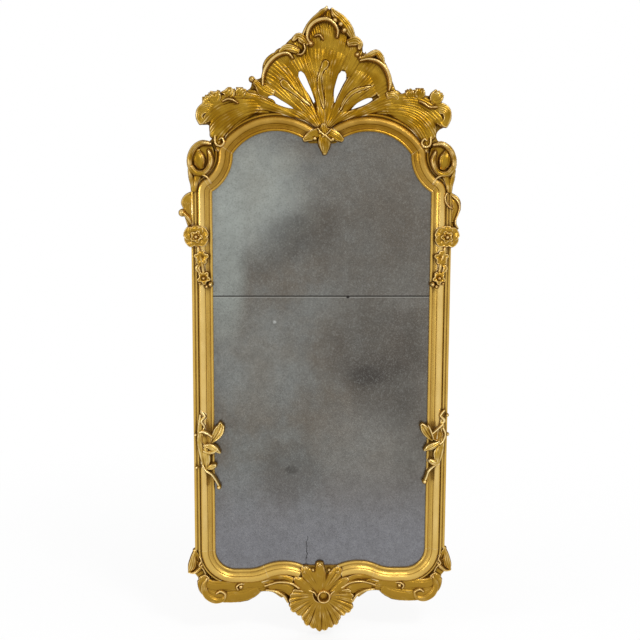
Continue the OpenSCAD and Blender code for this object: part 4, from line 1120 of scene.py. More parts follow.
class Relief:
    """Height map of one carved piece, in mm above its seat."""

    def __init__(
        self, low: Sequence[float], high: Sequence[float], gouge: Gouge = GOUGE
    ) -> None:
        """Lays out the grid.

        Args:
            low: Lower left corner.
            high: Upper right corner.
            gouge: How the carving is cut.
        """
        border, outside = 3, -9.0
        self.gouge = gouge
        self.xs = np.arange(low[0] - border, high[0] + border, gouge.pitch)
        self.ys = np.arange(low[1] - border, high[1] + border, gouge.pitch)
        self.body = np.zeros((len(self.ys), len(self.xs)))
        self.cut = np.zeros(self.body.shape)
        self.inside = np.full(self.body.shape, outside)

    @classmethod
    def of(cls, work: Work, fans: Sequence[Fan] = (), flow: Flow | None = None) -> "Relief":
        """A relief that is large enough for a carving, with the carving cut into it.

        Args:
            work: Strokes and bosses.
            fans: Fans that belong to them.
            flow: Reeds that run over all its wide strokes.

        Returns:
            The relief.
        """
        rounds = [point[:3] for stroke in work.strokes for point in stroke.path]
        rounds += [boss[:3] for boss in work.bosses]
        rounds += [(*fan.hub, max(reach for _, reach in fan.reach)) for fan in fans]
        spots = np.array(rounds)
        low = (spots[:, :2] - spots[:, 2:]).min(0)
        high = (spots[:, :2] + spots[:, 2:]).max(0)
        relief = cls(low, high)
        for fan in fans:
            relief.fan(fan)
        for stroke in work.strokes:
            relief.stroke(stroke, flow)
        for boss in work.bosses:
            if work.leafy and boss.petals:
                relief.tuft(boss, work.middle())
            else:
                relief.boss(boss)
        return relief

    def _raise(
        self, part: tuple[slice, slice], body: Grid, cut: Grid, inside: Grid, blend: float = 0.0
    ) -> None:
        """Adds a form to the relief, where it stands above what is there.

        Args:
            part: Rows and columns that it lies in.
            body: Its height.
            cut: Depth of the lines cut into it.
            inside: Distance within its outline.
            blend: Width over which it runs into what is there, in mm of height.
        """
        body = np.where(inside > 0, body, 0.0)
        old, old_cut = self.body[part], self.cut[part]
        if blend:
            share = np.clip(0.5 + (body - old) / (2 * blend), 0, 1)
            swell = np.maximum(blend - np.abs(body - old), 0) ** 2 / (4 * blend)
        else:
            share, swell = (body > old).astype(float), 0.0
        swell = np.where((body > 0) & (old > 0), swell, 0.0)
        self.cut[part] = old_cut * (1 - share) + cut * share
        self.body[part] = np.maximum(body, old) + swell
        self.inside[part] = np.maximum(self.inside[part], inside)

    def _window(self, low: np.ndarray, high: np.ndarray) -> tuple[slice, slice, Grid, Grid]:
        """The part of the grid between two corners.

        Args:
            low: Lower left corner.
            high: Upper right corner.

        Returns:
            Its rows and columns, and how far across and up its points lie.
        """
        rows = slice(*np.searchsorted(self.ys, (low[1], high[1])))
        columns = slice(*np.searchsorted(self.xs, (low[0], high[0])))
        x, y = np.meshgrid(self.xs[columns], self.ys[rows])
        return rows, columns, x, y

    def _across(self, path: Sequence[Point], longest_cap: float | None = None) -> Beside:
        """Where the grid's points lie across a stroke.

        Args:
            path: The stroke's points.
            longest_cap: Length of its rounded ends, if not the gouge's.

        Returns:
            The part of the grid about it, with each point's place.
        """
        line = eased(path, self.gouge.path_step)
        line[:, 2] = np.maximum(line[:, 2], self.gouge.least_width)
        longest_cap = longest_cap or self.gouge.end_round
        reach = line[:, 2].max() + longest_cap
        low, high = line[:, :2].min(0) - reach, line[:, :2].max(0) + reach
        rows, columns, x, y = self._window(low, high)
        tangent = np.gradient(line[:, :2], axis=0)
        tangent /= np.maximum(np.linalg.norm(tangent, axis=1, keepdims=True), 1e-9)
        best = np.full(x.shape, 1e9)
        nearest = np.zeros(x.shape, int)
        for i, (cx, cy) in enumerate(line[:, :2]):
            distance = (x - cx) ** 2 + (y - cy) ** 2
            closer = distance < best
            best[closer] = distance[closer]
            nearest[closer] = i
        dx, dy = x - line[nearest, 0], y - line[nearest, 1]
        side = tangent[nearest, 0] * dy - tangent[nearest, 1] * dx
        ahead = tangent[nearest, 0] * dx + tangent[nearest, 1] * dy
        ending = np.where(nearest == len(line) - 1, ahead, 0.0)
        past = np.where(nearest == 0, -ahead, ending)
        wide = line[nearest, 2]
        cap = np.minimum(wide, longest_cap)
        away = np.hypot(side / wide, np.maximum(past, 0) / cap)
        return Beside(rows, columns, away * np.where(side < 0, -1, 1), wide, line[nearest, 3])

    def stroke(self, stroke: Stroke, flow: Flow | None = None) -> None:
        """Cuts one stroke.

        Args:
            stroke: The stroke.
            flow: Reeds that run over it in place of its own, if it is wide.
        """
        gouge, hollow = self.gouge, stroke.hollow
        is_field = flow is not None and stroke.widest >= gouge.field_width
        rows, columns, across, wide, high = self._across(
            stroke.path, gouge.field_round if is_field else None
        )
        size = np.minimum(np.abs(across), 1.0)
        if is_field:
            bowl = 0.35 + 0.5 * size**2
        else:
            rim = 1 - np.abs(size - gouge.rim_share) / (1 - gouge.rim_share)
            bowl = np.where(
                size > gouge.dish_share,
                gouge.dish_rise + (1 - gouge.dish_rise) * np.clip(rim, 0, 1),
                gouge.dish_rise * size / gouge.dish_share,
            )
        form = (1 - hollow) * np.sqrt(1 - size**2) + hollow * bowl
        edge = soft_step((1 - size) * wide / np.minimum(gouge.edge, 0.5 * wide))
        body = high * (gouge.roll_foot + (1 - gouge.roll_foot) * form)
        body = body * (gouge.edge_foot + (1 - gouge.edge_foot) * edge)
        cut = np.zeros_like(body)
        if is_field:
            x, y = np.meshgrid(self.xs[columns], self.ys[rows])
            cut = flow.depth(x, y, gouge) * edge
        elif stroke.reeds:
            cut = self._reeds(stroke.reeds, across, wide) * edge
        elif hollow < gouge.vein_hollow:
            vein = np.clip(1 - np.abs(size - 0.5) * wide / gouge.vein_line, 0, 1)
            cut = np.where(wide > gouge.vein_width, gouge.vein_depth * vein, 0.0)
        inside = (1 - np.abs(across)) * np.where(np.abs(across) < 1, wide, 4)
        blend = gouge.blend if is_field else gouge.soft_blend
        self._raise((rows, columns), body, cut, inside, blend)

    def strip(self, path: Band) -> None:
        """Sets off a plain strip in the field between two dark lines.

        Args:
            path: Points (x, y, half width).
        """
        rows, columns, across, wide, _ = self._across([(*point, 0.0) for point in path])
        part = rows, columns
        size = np.abs(across)
        within = size < 1
        line = np.exp(-(((size - 1) * wide / self.gouge.line_width) ** 2))
        body, cut = self.body[part], self.cut[part]
        rise = self.gouge.strip_rise * np.sqrt(np.clip(1 - size**2, 0, 1))
        self.body[part] = np.where(within & (body > 0), body + rise, body)
        calmed = np.where(within, 0.25 * cut, cut)
        self.cut[part] = calmed + self.gouge.strip_line * line * (body > 0)

    def _reeds(self, reeds: int, across: Grid, wide: Grid) -> Grid:
        """Depth of the lines between the reeds, which part in two where the stroke widens.

        Args:
            reeds: Number of reeds where the stroke is narrow.
            across: Place across the stroke, from -1 to 1.
            wide: Half width there.

        Returns:
            Depth in mm.
        """
        gouge = self.gouge
        split = parted(2 * wide / (gouge.reed * reeds))
        whole = np.floor(split)
        share = soft_step(split - whole)
        depth = np.zeros_like(across)
        for extra, weight in ((0, 1 - share), (1, share)):
            count = reeds * 2 ** (whole + extra)
            wave = np.abs(np.sin(math.pi * count * (across + 1) / 2))
            width = np.minimum(2 * wide / count, gouge.reed)
            depth = depth + weight * (1 - wave**0.7) * gouge.reed_depth * width / gouge.reed
        return depth

    def tuft(self, boss: Boss, middle: np.ndarray) -> None:
        """Cuts a tuft of small leaves where a boss stands, turned away from the carving's middle.

        Args:
            boss: The boss.
            middle: Middle of the carving.
        """
        radius, high = boss.radius * self.gouge.tuft_spread, boss.height
        heading = math.atan2(boss.y - middle[1], boss.x - middle[0])
        leaves = boss.petals + 1
        opening = 2.3
        for i in range(leaves):
            turn = heading + (i - (leaves - 1) / 2) * opening / leaves
            turn += 0.3 * math.sin(boss.x + i)
            c, d = math.cos(turn), math.sin(turn)
            side = 1 if i % 2 else -1
            path = []
            for out, sway, wide, share in (
                (-0.45, 0.0, 0.22, 0.80),
                (0.15, 0.22, 0.38, 0.9),
                (0.58, 0.0, 0.34, 1.0 - 0.06 * (i % 3)),
                (0.92, -0.22, 0.12, 0.7),
            ):
                ahead, bend = out * radius, sway * radius * side
                x, y = boss.x + ahead * c - bend * d, boss.y + ahead * d + bend * c
                path.append((x, y, wide * radius, share * high))
            self.stroke(leaf(2, 0.35, *path))

    def boss(self, boss: Boss) -> None:
        """Raises a boss: a coiled knob, or a flower if it has petals.

        Args:
            boss: The boss.
        """
        x0, y0, radius, high, petals = boss
        middle = np.array([x0, y0])
        rows, columns, x, y = self._window(middle - radius * 1.2, middle + radius * 1.2)
        away = np.hypot(x - x0, y - y0)
        angle = np.arctan2(y - y0, x - x0)
        turn = x0 * 0.7 + y0 * 0.43
        if petals:
            lobe = np.abs(np.cos((petals * angle + turn) / 2))
            size = away / (radius * (0.78 + 0.22 * lobe**0.6))
            cup = np.exp(-((away / (0.24 * radius)) ** 2))
            cut = 0.22 * radius * (1 - lobe) ** 2 * np.clip(size * 1.4, 0, 1)
            cut = cut + 0.30 * radius * cup
            ribs = np.abs(np.sin(2 * petals * angle + turn * 2))
            cut = cut + 0.7 * (1 - ribs**0.6) * np.clip(size - 0.25, 0, 1)
        else:
            size = away / radius
            coil = np.abs(np.sin(0.5 * angle + away * math.pi / (1.24 * radius) + turn))
            cut = 1.2 * (1 - coil**0.5) * np.clip(size * 2.2 - 0.5, 0, 1)
        body = high * (0.45 + 0.55 * np.sqrt(np.clip(1 - size**2, 0, 1)))
        self._raise((rows, columns), body, cut, (1 - size) * radius)

    def fan(self, fan: Fan) -> None:
        """Spreads a fan of ribs about its hub.

        Args:
            fan: The fan.
        """
        hub, start, ribs, (at_hub, at_rim) = fan.hub, fan.start, fan.ribs, fan.heights
        table = np.asarray(fan.reach, float)
        first, last, most = table[0, 0], table[-1, 0], table[:, 1].max()
        rows, columns, x, y = self._window(np.array(hub) - most, np.array(hub) + most)
        away = np.hypot(x - hub[0], y - hub[1])
        angle = np.degrees(np.arctan2(y - hub[1], x - hub[0]))
        angle = np.where(angle < first - 20, angle + 360, angle)
        angle = np.where(angle > last + 20, angle - 360, angle)
        turn = (angle - first) / (last - first)
        wave = np.abs(np.sin(math.pi * ribs * turn + 0.5 * np.sin(9 * turn)))
        rim = np.interp(angle, table[:, 0], table[:, 1]) * (1 - fan.scallop + fan.scallop * wave)
        size = (away - start) / (rim - start)
        side = np.minimum(turn, 1 - turn) * math.radians(last - first) * away
        inside = np.minimum(np.minimum((1 - size) * most, (away - start) + 1.0), side)
        sag = fan.sag * np.sin(math.pi * np.clip(size, 0, 1))
        body = at_hub + (at_rim - at_hub) * size - sag
        rib = fan.rib_depth * (1 - wave**0.8) * np.clip(size * 1.6, 0, 1)
        edge = soft_step(inside / fan.edge)
        body = body * (1 - rib) * (1 - fan.edge_drop * (1 - edge))
        cut = np.zeros_like(body)
        for count, weight in fan.lines:
            fine = np.abs(np.sin(math.pi * ribs * turn * count + 0.5 * np.sin(away / 17.0)))
            cut = cut + weight * (1 - fine**0.6) * np.clip(size * 2, 0, 1) * edge
        self._raise((rows, columns), body, cut, inside)

    def pierce(self, paths: Iterable[Band]) -> None:
        """Cuts openings right through, each along points (x, y, half width)."""
        for path in paths:
            rows, columns, across, wide, _ = self._across([(*point, 0.0) for point in path])
            gap = (np.abs(across) - 1) * np.minimum(wide, 6)
            self.inside[rows, columns] = np.minimum(self.inside[rows, columns], gap)

    def bound(self, low: Sequence[float], high: Sequence[float], highest: float) -> None:
        """Keeps the carving between two corners, and below a height over its seat.

        Args:
            low: Lower left corner.
            high: Upper right corner.
            highest: Height that it may not pass.
        """
        across, up = self.xs[None, :], self.ys[:, None]
        for room in (up - low[1], high[1] - up, across - low[0], high[0] - across):
            self.inside = np.minimum(self.inside, room)
        self.body = np.clip(self.body, 0.0, highest)

    def finish(self) -> tuple[Grid, Grid, Grid]:
        """Softens the tool marks, and finds the hollows and the ridges.

        Returns:
            Height, hollow and ridge of each point of the grid.
        """
        gouge = self.gouge
        x, y = np.meshgrid(self.xs, self.ys)
        wander = np.sin(x * 0.11 + 1.3 * np.sin(y * 0.07))
        wander = wander * np.sin(y * 0.13 + 1.1 * np.sin(x * 0.05))
        wood = self.inside > 0
        least = gouge.least_left * self.body
        height = np.where(wood, np.maximum(self.body - self.cut, least), 0)
        solid = wood.astype(float)

        def mean(passes: int) -> Grid:
            """Mean height of the wood about each point."""
            return blurred(height, passes) / np.maximum(blurred(solid, passes), 0.05)

        soft = (1 - gouge.softening) * height + gouge.softening * mean(1)
        soft = np.where(wood, soft, 0) + gouge.wander * wander * solid
        means = {mark.passes: mean(mark.passes) for mark in HOLLOWS}
        hollow = sum(mark.shown(means[mark.passes], soft) for mark in HOLLOWS)
        ridge = sum(mark.shown(soft, means[mark.passes]) for mark in RIDGES)
        return np.maximum(soft, gouge.thinnest), np.clip(hollow, 0, 1), np.clip(ridge, 0, 1)


class Skin:
    """Vertices and faces of one relief: its top, its walls and its flat back."""

    def __init__(self, relief: Relief) -> None:
        """Meshes the top, cell by cell, cut along the outline.

        Args:
            relief: The finished height map.
        """
        self.relief = relief
        self.values = relief.finish()
        within = relief.inside > 0
        self.number = np.full(within.shape, -1)
        self.number[within] = np.arange(within.sum())
        corners = [
            self.number[:-1, :-1], self.number[:-1, 1:],
            self.number[1:, 1:], self.number[1:, :-1],
        ]
        full = np.all([c >= 0 for c in corners], axis=0)
        part = np.any([c >= 0 for c in corners], axis=0) & ~full
        self.faces: list[list[int]] = np.stack([c[full] for c in corners], 1).tolist()
        self.rim: list[tuple[int, int]] = []
        self._crossings: dict[tuple[int, int, int, int], int] = {}
        self._extra: list[tuple[float, ...]] = []
        self._count = int(within.sum())
        for row, column in zip(*np.nonzero(part)):
            self._cell(int(row), int(column))
        x, y = np.meshgrid(relief.xs, relief.ys)
        grid = np.stack([values[within] for values in (x, y, *self.values)], 1)
        table = np.vstack([grid, np.asarray(self._extra).reshape(-1, 5)])
        self.flat, self.top, self.marks = table[:, :2], table[:, 2], table[:, 3:]

    def _cell(self, row: int, column: int) -> None:
        """Cuts one cell along the outline.

        Args:
            row: Row of its lower left corner.
            column: Column of that corner.
        """
        ring = [(row, column), (row, column + 1), (row + 1, column + 1), (row + 1, column)]
        corners: list[tuple[int, bool]] = []
        for here, there in zip(ring, ring[1:] + ring[:1]):
            if self.number[here] >= 0:
                corners.append((int(self.number[here]), False))
            if (self.number[here] >= 0) != (self.number[there] >= 0):
                corners.append((self._crossing(here, there), True))
        self.faces.append([i for i, _ in corners])
        for (a, a_cut), (b, b_cut) in zip(corners, corners[1:] + corners[:1]):
            if a_cut and b_cut:
                self.rim.append((a, b))

    def _crossing(self, here: tuple[int, int], there: tuple[int, int]) -> int:
        """The vertex where the outline crosses an edge of the grid.

        Args:
            here: Row and column of one end.
            there: Row and column of the other.

        Returns:
            Number of the vertex.
        """
        key = (*min(here, there), *max(here, there))
        if key not in self._crossings:
            inside, xs, ys = self.relief.inside, self.relief.xs, self.relief.ys
            kept, lost = (here, there) if inside[here] > 0 else (there, here)
            share = min(max(inside[kept] / (inside[kept] - inside[lost]), 0.02), 0.98)
            x = xs[kept[1]] + (xs[lost[1]] - xs[kept[1]]) * share
            y = ys[kept[0]] + (ys[lost[0]] - ys[kept[0]]) * share
            height, hollow, ridge = (values[kept] for values in self.values)
            self._extra.append((x, y, height * self.relief.gouge.rim_height, hollow, ridge))
            self._crossings[key] = self._count + len(self._extra) - 1
        return self._crossings[key]

    def _nearest(self, spots: np.ndarray) -> tuple[np.ndarray, np.ndarray]:
        """The points of the grid just above and to the right of spots.

        Args:
            spots: Places (x, y), one to a row.

        Returns:
            The points' rows, and their columns.
        """
        ys, xs = self.relief.ys, self.relief.xs
        rows = np.clip(np.searchsorted(ys, spots[:, 1]), 0, len(ys) - 1)
        return rows, np.clip(np.searchsorted(xs, spots[:, 0]), 0, len(xs) - 1)

    def _walls(self) -> tuple[np.ndarray, np.ndarray, list[list[int]]]:
        """Drops walls from the outline to the seat, and closes the back.

        Returns:
            Places and heights of the new vertices, and the new faces.
        """
        gouge = self.relief.gouge
        rim = sorted({i for edge in self.rim for i in edge})
        spot = {old: k for k, old in enumerate(rim)}
        start = len(self.flat)
        outline = self.flat[rim]
        slope_y, slope_x = np.gradient(blurred(self.relief.inside, 2), gouge.pitch)
        cells = self._nearest(outline)
        inward = np.stack([slope_x[cells], slope_y[cells]], 1)
        inward /= np.maximum(np.linalg.norm(inward, axis=1, keepdims=True), 1e-6)
        middle = outline - inward * gouge.wall_bulge
        low = outline + inward * gouge.wall_inset
        faces: list[list[int]] = []
        for a, b in self.rim:
            middle_a, middle_b = start + spot[a], start + spot[b]
            low_a, low_b = middle_a + len(rim), middle_b + len(rim)
            faces += [[b, a, middle_a, middle_b], [middle_b, middle_a, low_a, low_b]]
        edges = [(spot[a], spot[b]) for a, b in self.rim]
        points, _, back, origins, *_ = delaunay_2d_cdt(
            [Vector(p) for p in low], edges, [], 1, 1e-4
        )
        places = [start + len(rim) + origin[0] if origin else -1 for origin in origins]
        added = [p for p, k in zip(points, places) if k < 0]
        fresh = iter(range(start + 2 * len(rim), start + 2 * len(rim) + len(added)))
        places = [next(fresh) if k < 0 else k for k in places]
        centres = np.array([np.mean([tuple(points[i]) for i in face], axis=0) for face in back])
        wood = self.relief.inside[self._nearest(centres)] > gouge.back_inset
        faces += [[places[i] for i in reversed(f)] for f, kept in zip(back, wood) if kept]
        spots = np.vstack([middle, low, np.asarray([tuple(p) for p in added]).reshape(-1, 2)])
        halfway = self.top[rim] * gouge.wall_height
        heights = np.concatenate([halfway, np.zeros(len(rim) + len(added))])
        return spots, heights, faces

    def object(self, name: str, seat: float) -> bpy.types.Object:
        """Makes the object.

        Args:
            name: Its name.
            seat: Depth of its seat from the wall, in mm.

        Returns:
            The object, shaded smooth over the carving and sharp at its back.
        """
        spots, heights, walls = self._walls()
        flat, top = np.vstack([self.flat, spots]), np.concatenate([self.top, heights])
        # The walls and back take half the hollow mark, and so half the gilding's painted shade, and
        # no ridge mark.
        marks = np.vstack([self.marks, np.tile([0.5, 0.0], (len(spots), 1))])
        points = np.stack([flat[:, 0], -(seat + top), flat[:, 1]], 1) * MM
        faces = [face for face in self.faces + walls if len(set(face)) > 2]
        mesh = bpy.data.meshes.new(name)
        mesh.from_pydata(points.tolist(), [], faces)
        for key, values in zip(("hollow", "ridge"), marks.T):
            layer = mesh.attributes.new(key, "FLOAT", "POINT")
            layer.data.foreach_set("value", values.astype(np.float32))
        mesh.validate()
        mesh.shade_smooth()
        mesh.set_sharp_from_angle(angle=SHARP_ANGLE)
        made = bpy.data.objects.new(name, mesh)
        bpy.context.scene.collection.objects.link(made)
        return made


# ---- The carver's drawing ----
#
# Points are (x, y, half width, height), in mm: across from the middle of the glass, up from the
# joint of the plates, and out from the seat. A roll has rounded flanks, a dish is hollow between
# two rims, and a leaf has reeds along it. Below the plumes, what comes in pairs is drawn for the
# right side.

# The palm leaf of the crest: broad fields that run into each other, its openings and plain strips
PALMETTE = Work(
    (
        roll((3, 474, 13, 24), (5, 512, 22, 20), (6, 545, 28, 18), (1, 580, 34, 18),
            (-1, 620, 52, 20), (2, 658, 72, 20), (4, 690, 76, 17.5), (6, 716, 66, 15),
            (7, 738, 50, 12)),
        roll((-12, 484, 10, 24), (-30, 510, 18, 20), (-53, 540, 27, 18), (-83, 571, 38, 18),
            (-112, 600, 50, 16), (-130, 620, 48, 12)),
        roll((-14, 480, 9, 22), (-45, 504, 13, 20), (-85, 516, 14, 18), (-125, 529, 16, 17),
            (-166, 545, 23, 17), (-196, 556, 26, 16)),
        roll((14, 484, 10, 24), (34, 510, 17, 20), (58, 541, 25, 18), (86, 573, 37, 18),
            (116, 601, 50, 16), (134, 622, 48, 12)),
        roll((16, 480, 9, 22), (48, 502, 13, 20), (88, 514, 14, 18), (128, 527, 16, 17),
            (168, 544, 23, 17), (200, 556, 26, 16)),
    ),
)
SLOTS = (
    ((-63, 628, 4), (-59, 619, 9), (-48, 596, 8.5), (-36, 574, 6), (-22, 548, 1)),
    ((-149, 558, 4), (-140, 556, 8), (-120, 545, 7.5), (-100, 536, 5), (-83, 529, 1)),
    ((57, 630, 6), (55, 620, 11), (46, 598, 9.5), (38, 574, 6.5), (34, 547, 1.5)),
    ((138, 556, 3), (130, 553, 6), (114, 546, 7), (98, 538, 5.5), (84, 529, 1.5)),
)
STRIPS = (
    ((3, 530, 3), (-1, 552, 6), (-8, 585, 7), (-9, 612, 6), (-3, 632, 6), (5, 646, 10),
        (9, 655, 9)),
    ((-36, 538, 3), (-54, 552, 5), (-76, 570, 6), (-94, 584, 8), (-106, 595, 11), (-112, 602, 8)),
    ((50, 526, 3), (60, 548, 5), (76, 568, 6), (96, 580, 6), (118, 586, 5), (132, 590, 3)),
)
# The scroll that crowns it, and the scrolls on either side, with their small leaves
TOP_SCROLL = Work(
    (
        dish(0.3, (6, 676, 74, 18), (9, 708, 66, 21), (10, 738, 54, 22), (6, 766, 36, 22),
            (6, 780, 22, 22)),
        roll((-33, 702, 6, 34), (-44, 720, 8, 38), (-38, 746, 9, 41), (-19, 764, 9, 43),
            (7, 770, 9, 43), (28, 760, 8, 42), (40, 740, 7, 40), (38, 722, 5, 36)),
        roll((-56, 728, 6, 24), (-38, 756, 10, 26), (-15, 778, 12, 28), (5, 795, 10, 30),
            (10, 806, 2, 28)),
        leaf(2, 0, (84, 720, 8, 26), (70, 745, 14, 31), (52, 767, 15, 33), (32, 785, 12, 31),
            (25, 797, 6, 28)),
        roll((-24, 724, 4, 30), (-10, 728, 5, 33), (0, 716, 4, 30)),
    ),
    (Boss(-34, 704, 8, 38), Boss(32, 766, 9, 40), Boss(48, 757, 9, 39), Boss(58, 741, 9, 37)),
    leafy=True,
)
LEFT_CREST = Work(
    (
        dish(0.5, (-104, 606, 42, 14), (-126, 638, 42, 18), (-112, 668, 26, 20)),
        roll((-167, 592, 6, 26), (-165, 618, 7, 31), (-155, 643, 8, 34), (-137, 664, 8, 35),
            (-114, 677, 8, 35), (-95, 677, 7, 33), (-84, 665, 5, 30)),
        leaf(2, 0, (-140, 566, 16, 18), (-164, 577, 20, 20), (-182, 594, 11, 23),
            (-196, 606, 7, 24)),
        roll((-65, 639, 31, 17), (-82, 675, 33, 18), (-66, 708, 24, 18)),
        leaf(2, 0, (-44, 704, 9, 27), (-56, 716, 15, 31), (-70, 723, 11, 30), (-81, 714, 6, 27)),
        leaf(2, 0, (-68, 684, 10, 28), (-88, 691, 13, 32), (-104, 691, 11, 32), (-118, 683, 6, 30)),
        roll((-54, 704, 4, 33), (-50, 690, 5, 35), (-58, 676, 5, 35), (-71, 675, 4, 32)),
    ),
    (Boss(-197, 607, 9, 30),),
    leafy=True,
)
RIGHT_CREST = Work(
    (
        dish(0.5, (107, 606, 42, 14), (137, 633, 43, 16), (160, 606, 32, 16), (180, 572, 26, 17)),
        roll((104, 660, 5, 28), (126, 664, 7, 33), (150, 659, 8, 35), (170, 644, 9, 36),
            (183, 620, 9, 35), (187, 598, 8, 33), (185, 580, 5, 29)),
        leaf(2, 0, (108, 666, 7, 26), (128, 673, 9, 29), (148, 681, 10, 31), (161, 668, 10, 31),
            (168, 654, 5, 28)),
        roll((114, 668, 5, 26), (119, 684, 1, 24)),
        roll((66, 640, 30, 17), (84, 678, 28, 18), (96, 704, 16, 18)),
        leaf(2, 0, (70, 708, 11, 27), (88, 712, 15, 33), (101, 704, 10, 35), (100, 692, 6, 32)),
        leaf(1, 0, (182, 566, 12, 22), (196, 568, 11, 22), (210, 558, 8, 20)),
    ),
    (Boss(95, 676, 7, 30), Boss(103, 668, 5, 28)),
    leafy=True,
)
# The three leaves that clasp the cusp between the arches, with a ribbon that crosses them
CUSP_CLASP = Work(
    (
        leaf(3, 0.2, (-2, 472, 7, 18), (-18, 461, 14, 21), (-36, 451, 14, 21), (-50, 443, 8, 17)),
        leaf(3, 0.2, (6, 472, 7, 18), (23, 461, 14, 21), (41, 451, 14, 21), (54, 443, 8, 17)),
        leaf(4, 0, (3, 484, 9, 20), (4, 460, 16, 22), (5, 438, 19, 24), (6, 420, 15, 21),
            (6, 405, 7, 16)),
        roll((-14, 474, 3, 23), (-4, 462, 4, 26), (10, 452, 5, 26), (24, 440, 4, 23)),
        roll((24, 472, 3, 23), (12, 460, 4, 26), (0, 451, 5, 26)),
    ),
    (Boss(-22, 446, 7, 24), Boss(28, 444, 7, 24), Boss(-8, 464, 6, 26)),
)
# The plumes: root, feather, hooked tip, and the small volute at the foot
LEFT_PLUME = Work(
    (
        leaf(3, 0, (-186, 546, 22, 18), (-222, 550, 27, 21), (-258, 545, 30, 23),
            (-288, 528, 27, 24), (-312, 508, 18, 25), (-332, 492, 10, 26)),
        leaf(2, 0, (-190, 530, 16, 17), (-226, 515, 23, 19), (-256, 493, 22, 21),
            (-278, 468, 19, 22), (-290, 440, 14, 23), (-290, 414, 8, 24)),
        roll((-150, 536, 20, 8), (-190, 546, 24, 17), (-222, 550, 27, 21)),
        roll((-160, 520, 14, 8), (-192, 528, 18, 16), (-226, 515, 23, 19)),
        roll((-222, 540, 26, 19), (-262, 522, 32, 23), (-292, 492, 24, 24), (-302, 456, 14, 23)),
        leaf(3, 0.3, (-296, 524, 14, 22), (-318, 530, 17, 27), (-337, 521, 14, 31),
            (-343, 504, 11, 31), (-336, 489, 11, 29)),
        leaf(2, 0.3, (-286, 500, 12, 22), (-308, 510, 13, 26), (-324, 503, 9, 28),
            (-327, 490, 6, 26)),
        roll((-278, 546, 3, 33), (-264, 552, 4, 36), (-250, 550, 4, 37), (-236, 542, 3, 34)),
        roll((-300, 452, 5, 25), (-298, 430, 6, 27), (-284, 424, 6, 28), (-275, 434, 6, 28),
            (-281, 446, 5, 27), (-289, 441, 3, 27)),
    ),
    (Boss(-232, 566, 17, 27, 4), Boss(-261, 563, 18, 29, 4), Boss(-298, 553, 19, 30, 4),
        Boss(-318, 544, 16, 29, 4)),
    leafy=True,
)
RIGHT_PLUME = Work(
    (
        leaf(3, 0, (194, 543, 22, 18), (224, 545, 27, 21), (262, 542, 30, 23), (294, 528, 28, 24),
            (320, 508, 20, 25), (337, 488, 11, 26)),
        leaf(2, 0, (194, 526, 16, 17), (227, 512, 23, 19), (257, 490, 22, 21), (279, 465, 19, 22),
            (291, 438, 14, 23), (292, 414, 8, 24)),
        roll((152, 534, 20, 8), (194, 543, 24, 17), (224, 545, 27, 21)),
        roll((162, 518, 14, 8), (194, 526, 18, 16), (227, 512, 23, 19)),
        roll((224, 538, 26, 19), (264, 520, 32, 23), (296, 492, 24, 24), (306, 456, 14, 23)),
        leaf(3, 0.3, (306, 526, 14, 22), (326, 532, 17, 27), (345, 524, 15, 31), (350, 504, 12, 31),
            (341, 485, 12, 29)),
        leaf(2, 0.3, (292, 500, 12, 22), (314, 510, 13, 26), (330, 501, 9, 28), (332, 486, 6, 26)),
        roll((270, 550, 3, 33), (284, 543, 4, 36), (298, 534, 4, 36), (318, 534, 4, 37)),
        roll((304, 452, 5, 25), (302, 430, 6, 27), (288, 424, 6, 28), (279, 434, 6, 28),
            (285, 446, 5, 27), (293, 441, 3, 27)),
    ),
    (Boss(246, 564, 16, 27, 4), Boss(271, 566, 18, 29, 4), Boss(315, 556, 20, 31, 5)),
    leafy=True,
)
# The scrolled ear at each upper corner: ground, scroll, tails, and the bud in its eye
EAR = Work(
    (
        dish(0.6, (330, 422, 26, 12), (334, 388, 37, 10), (334, 352, 28, 12)),
        roll((313, 430, 6, 24), (338, 432, 8, 28), (360, 416, 9, 30), (371, 388, 9, 31),
            (368, 361, 8, 30), (352, 346, 7, 28), (330, 349, 6, 27), (315, 366, 6, 28),
            (310, 388, 6, 27), (317, 408, 4, 25)),
        roll((357, 350, 4, 25), (338, 345, 5, 27), (322, 336, 5, 27), (314, 322, 3, 25)),
        roll((371, 358, 7, 26), (368, 335, 8, 24), (364, 314, 7, 22), (363, 286, 6, 20)),
        roll((346, 352, 14, 22), (354, 328, 10, 22), (358, 305, 8, 22), (360, 286, 6, 20)),
        roll((368, 366, 9, 30), (354, 349, 10, 29), (332, 350, 9, 28), (317, 366, 9, 28),
            (312, 388, 9, 27), (318, 410, 6, 25)),
        roll((351, 411, 9, 17), (349, 396, 18, 24), (345, 378, 18, 24), (340, 363, 10, 18)),
    ),
)
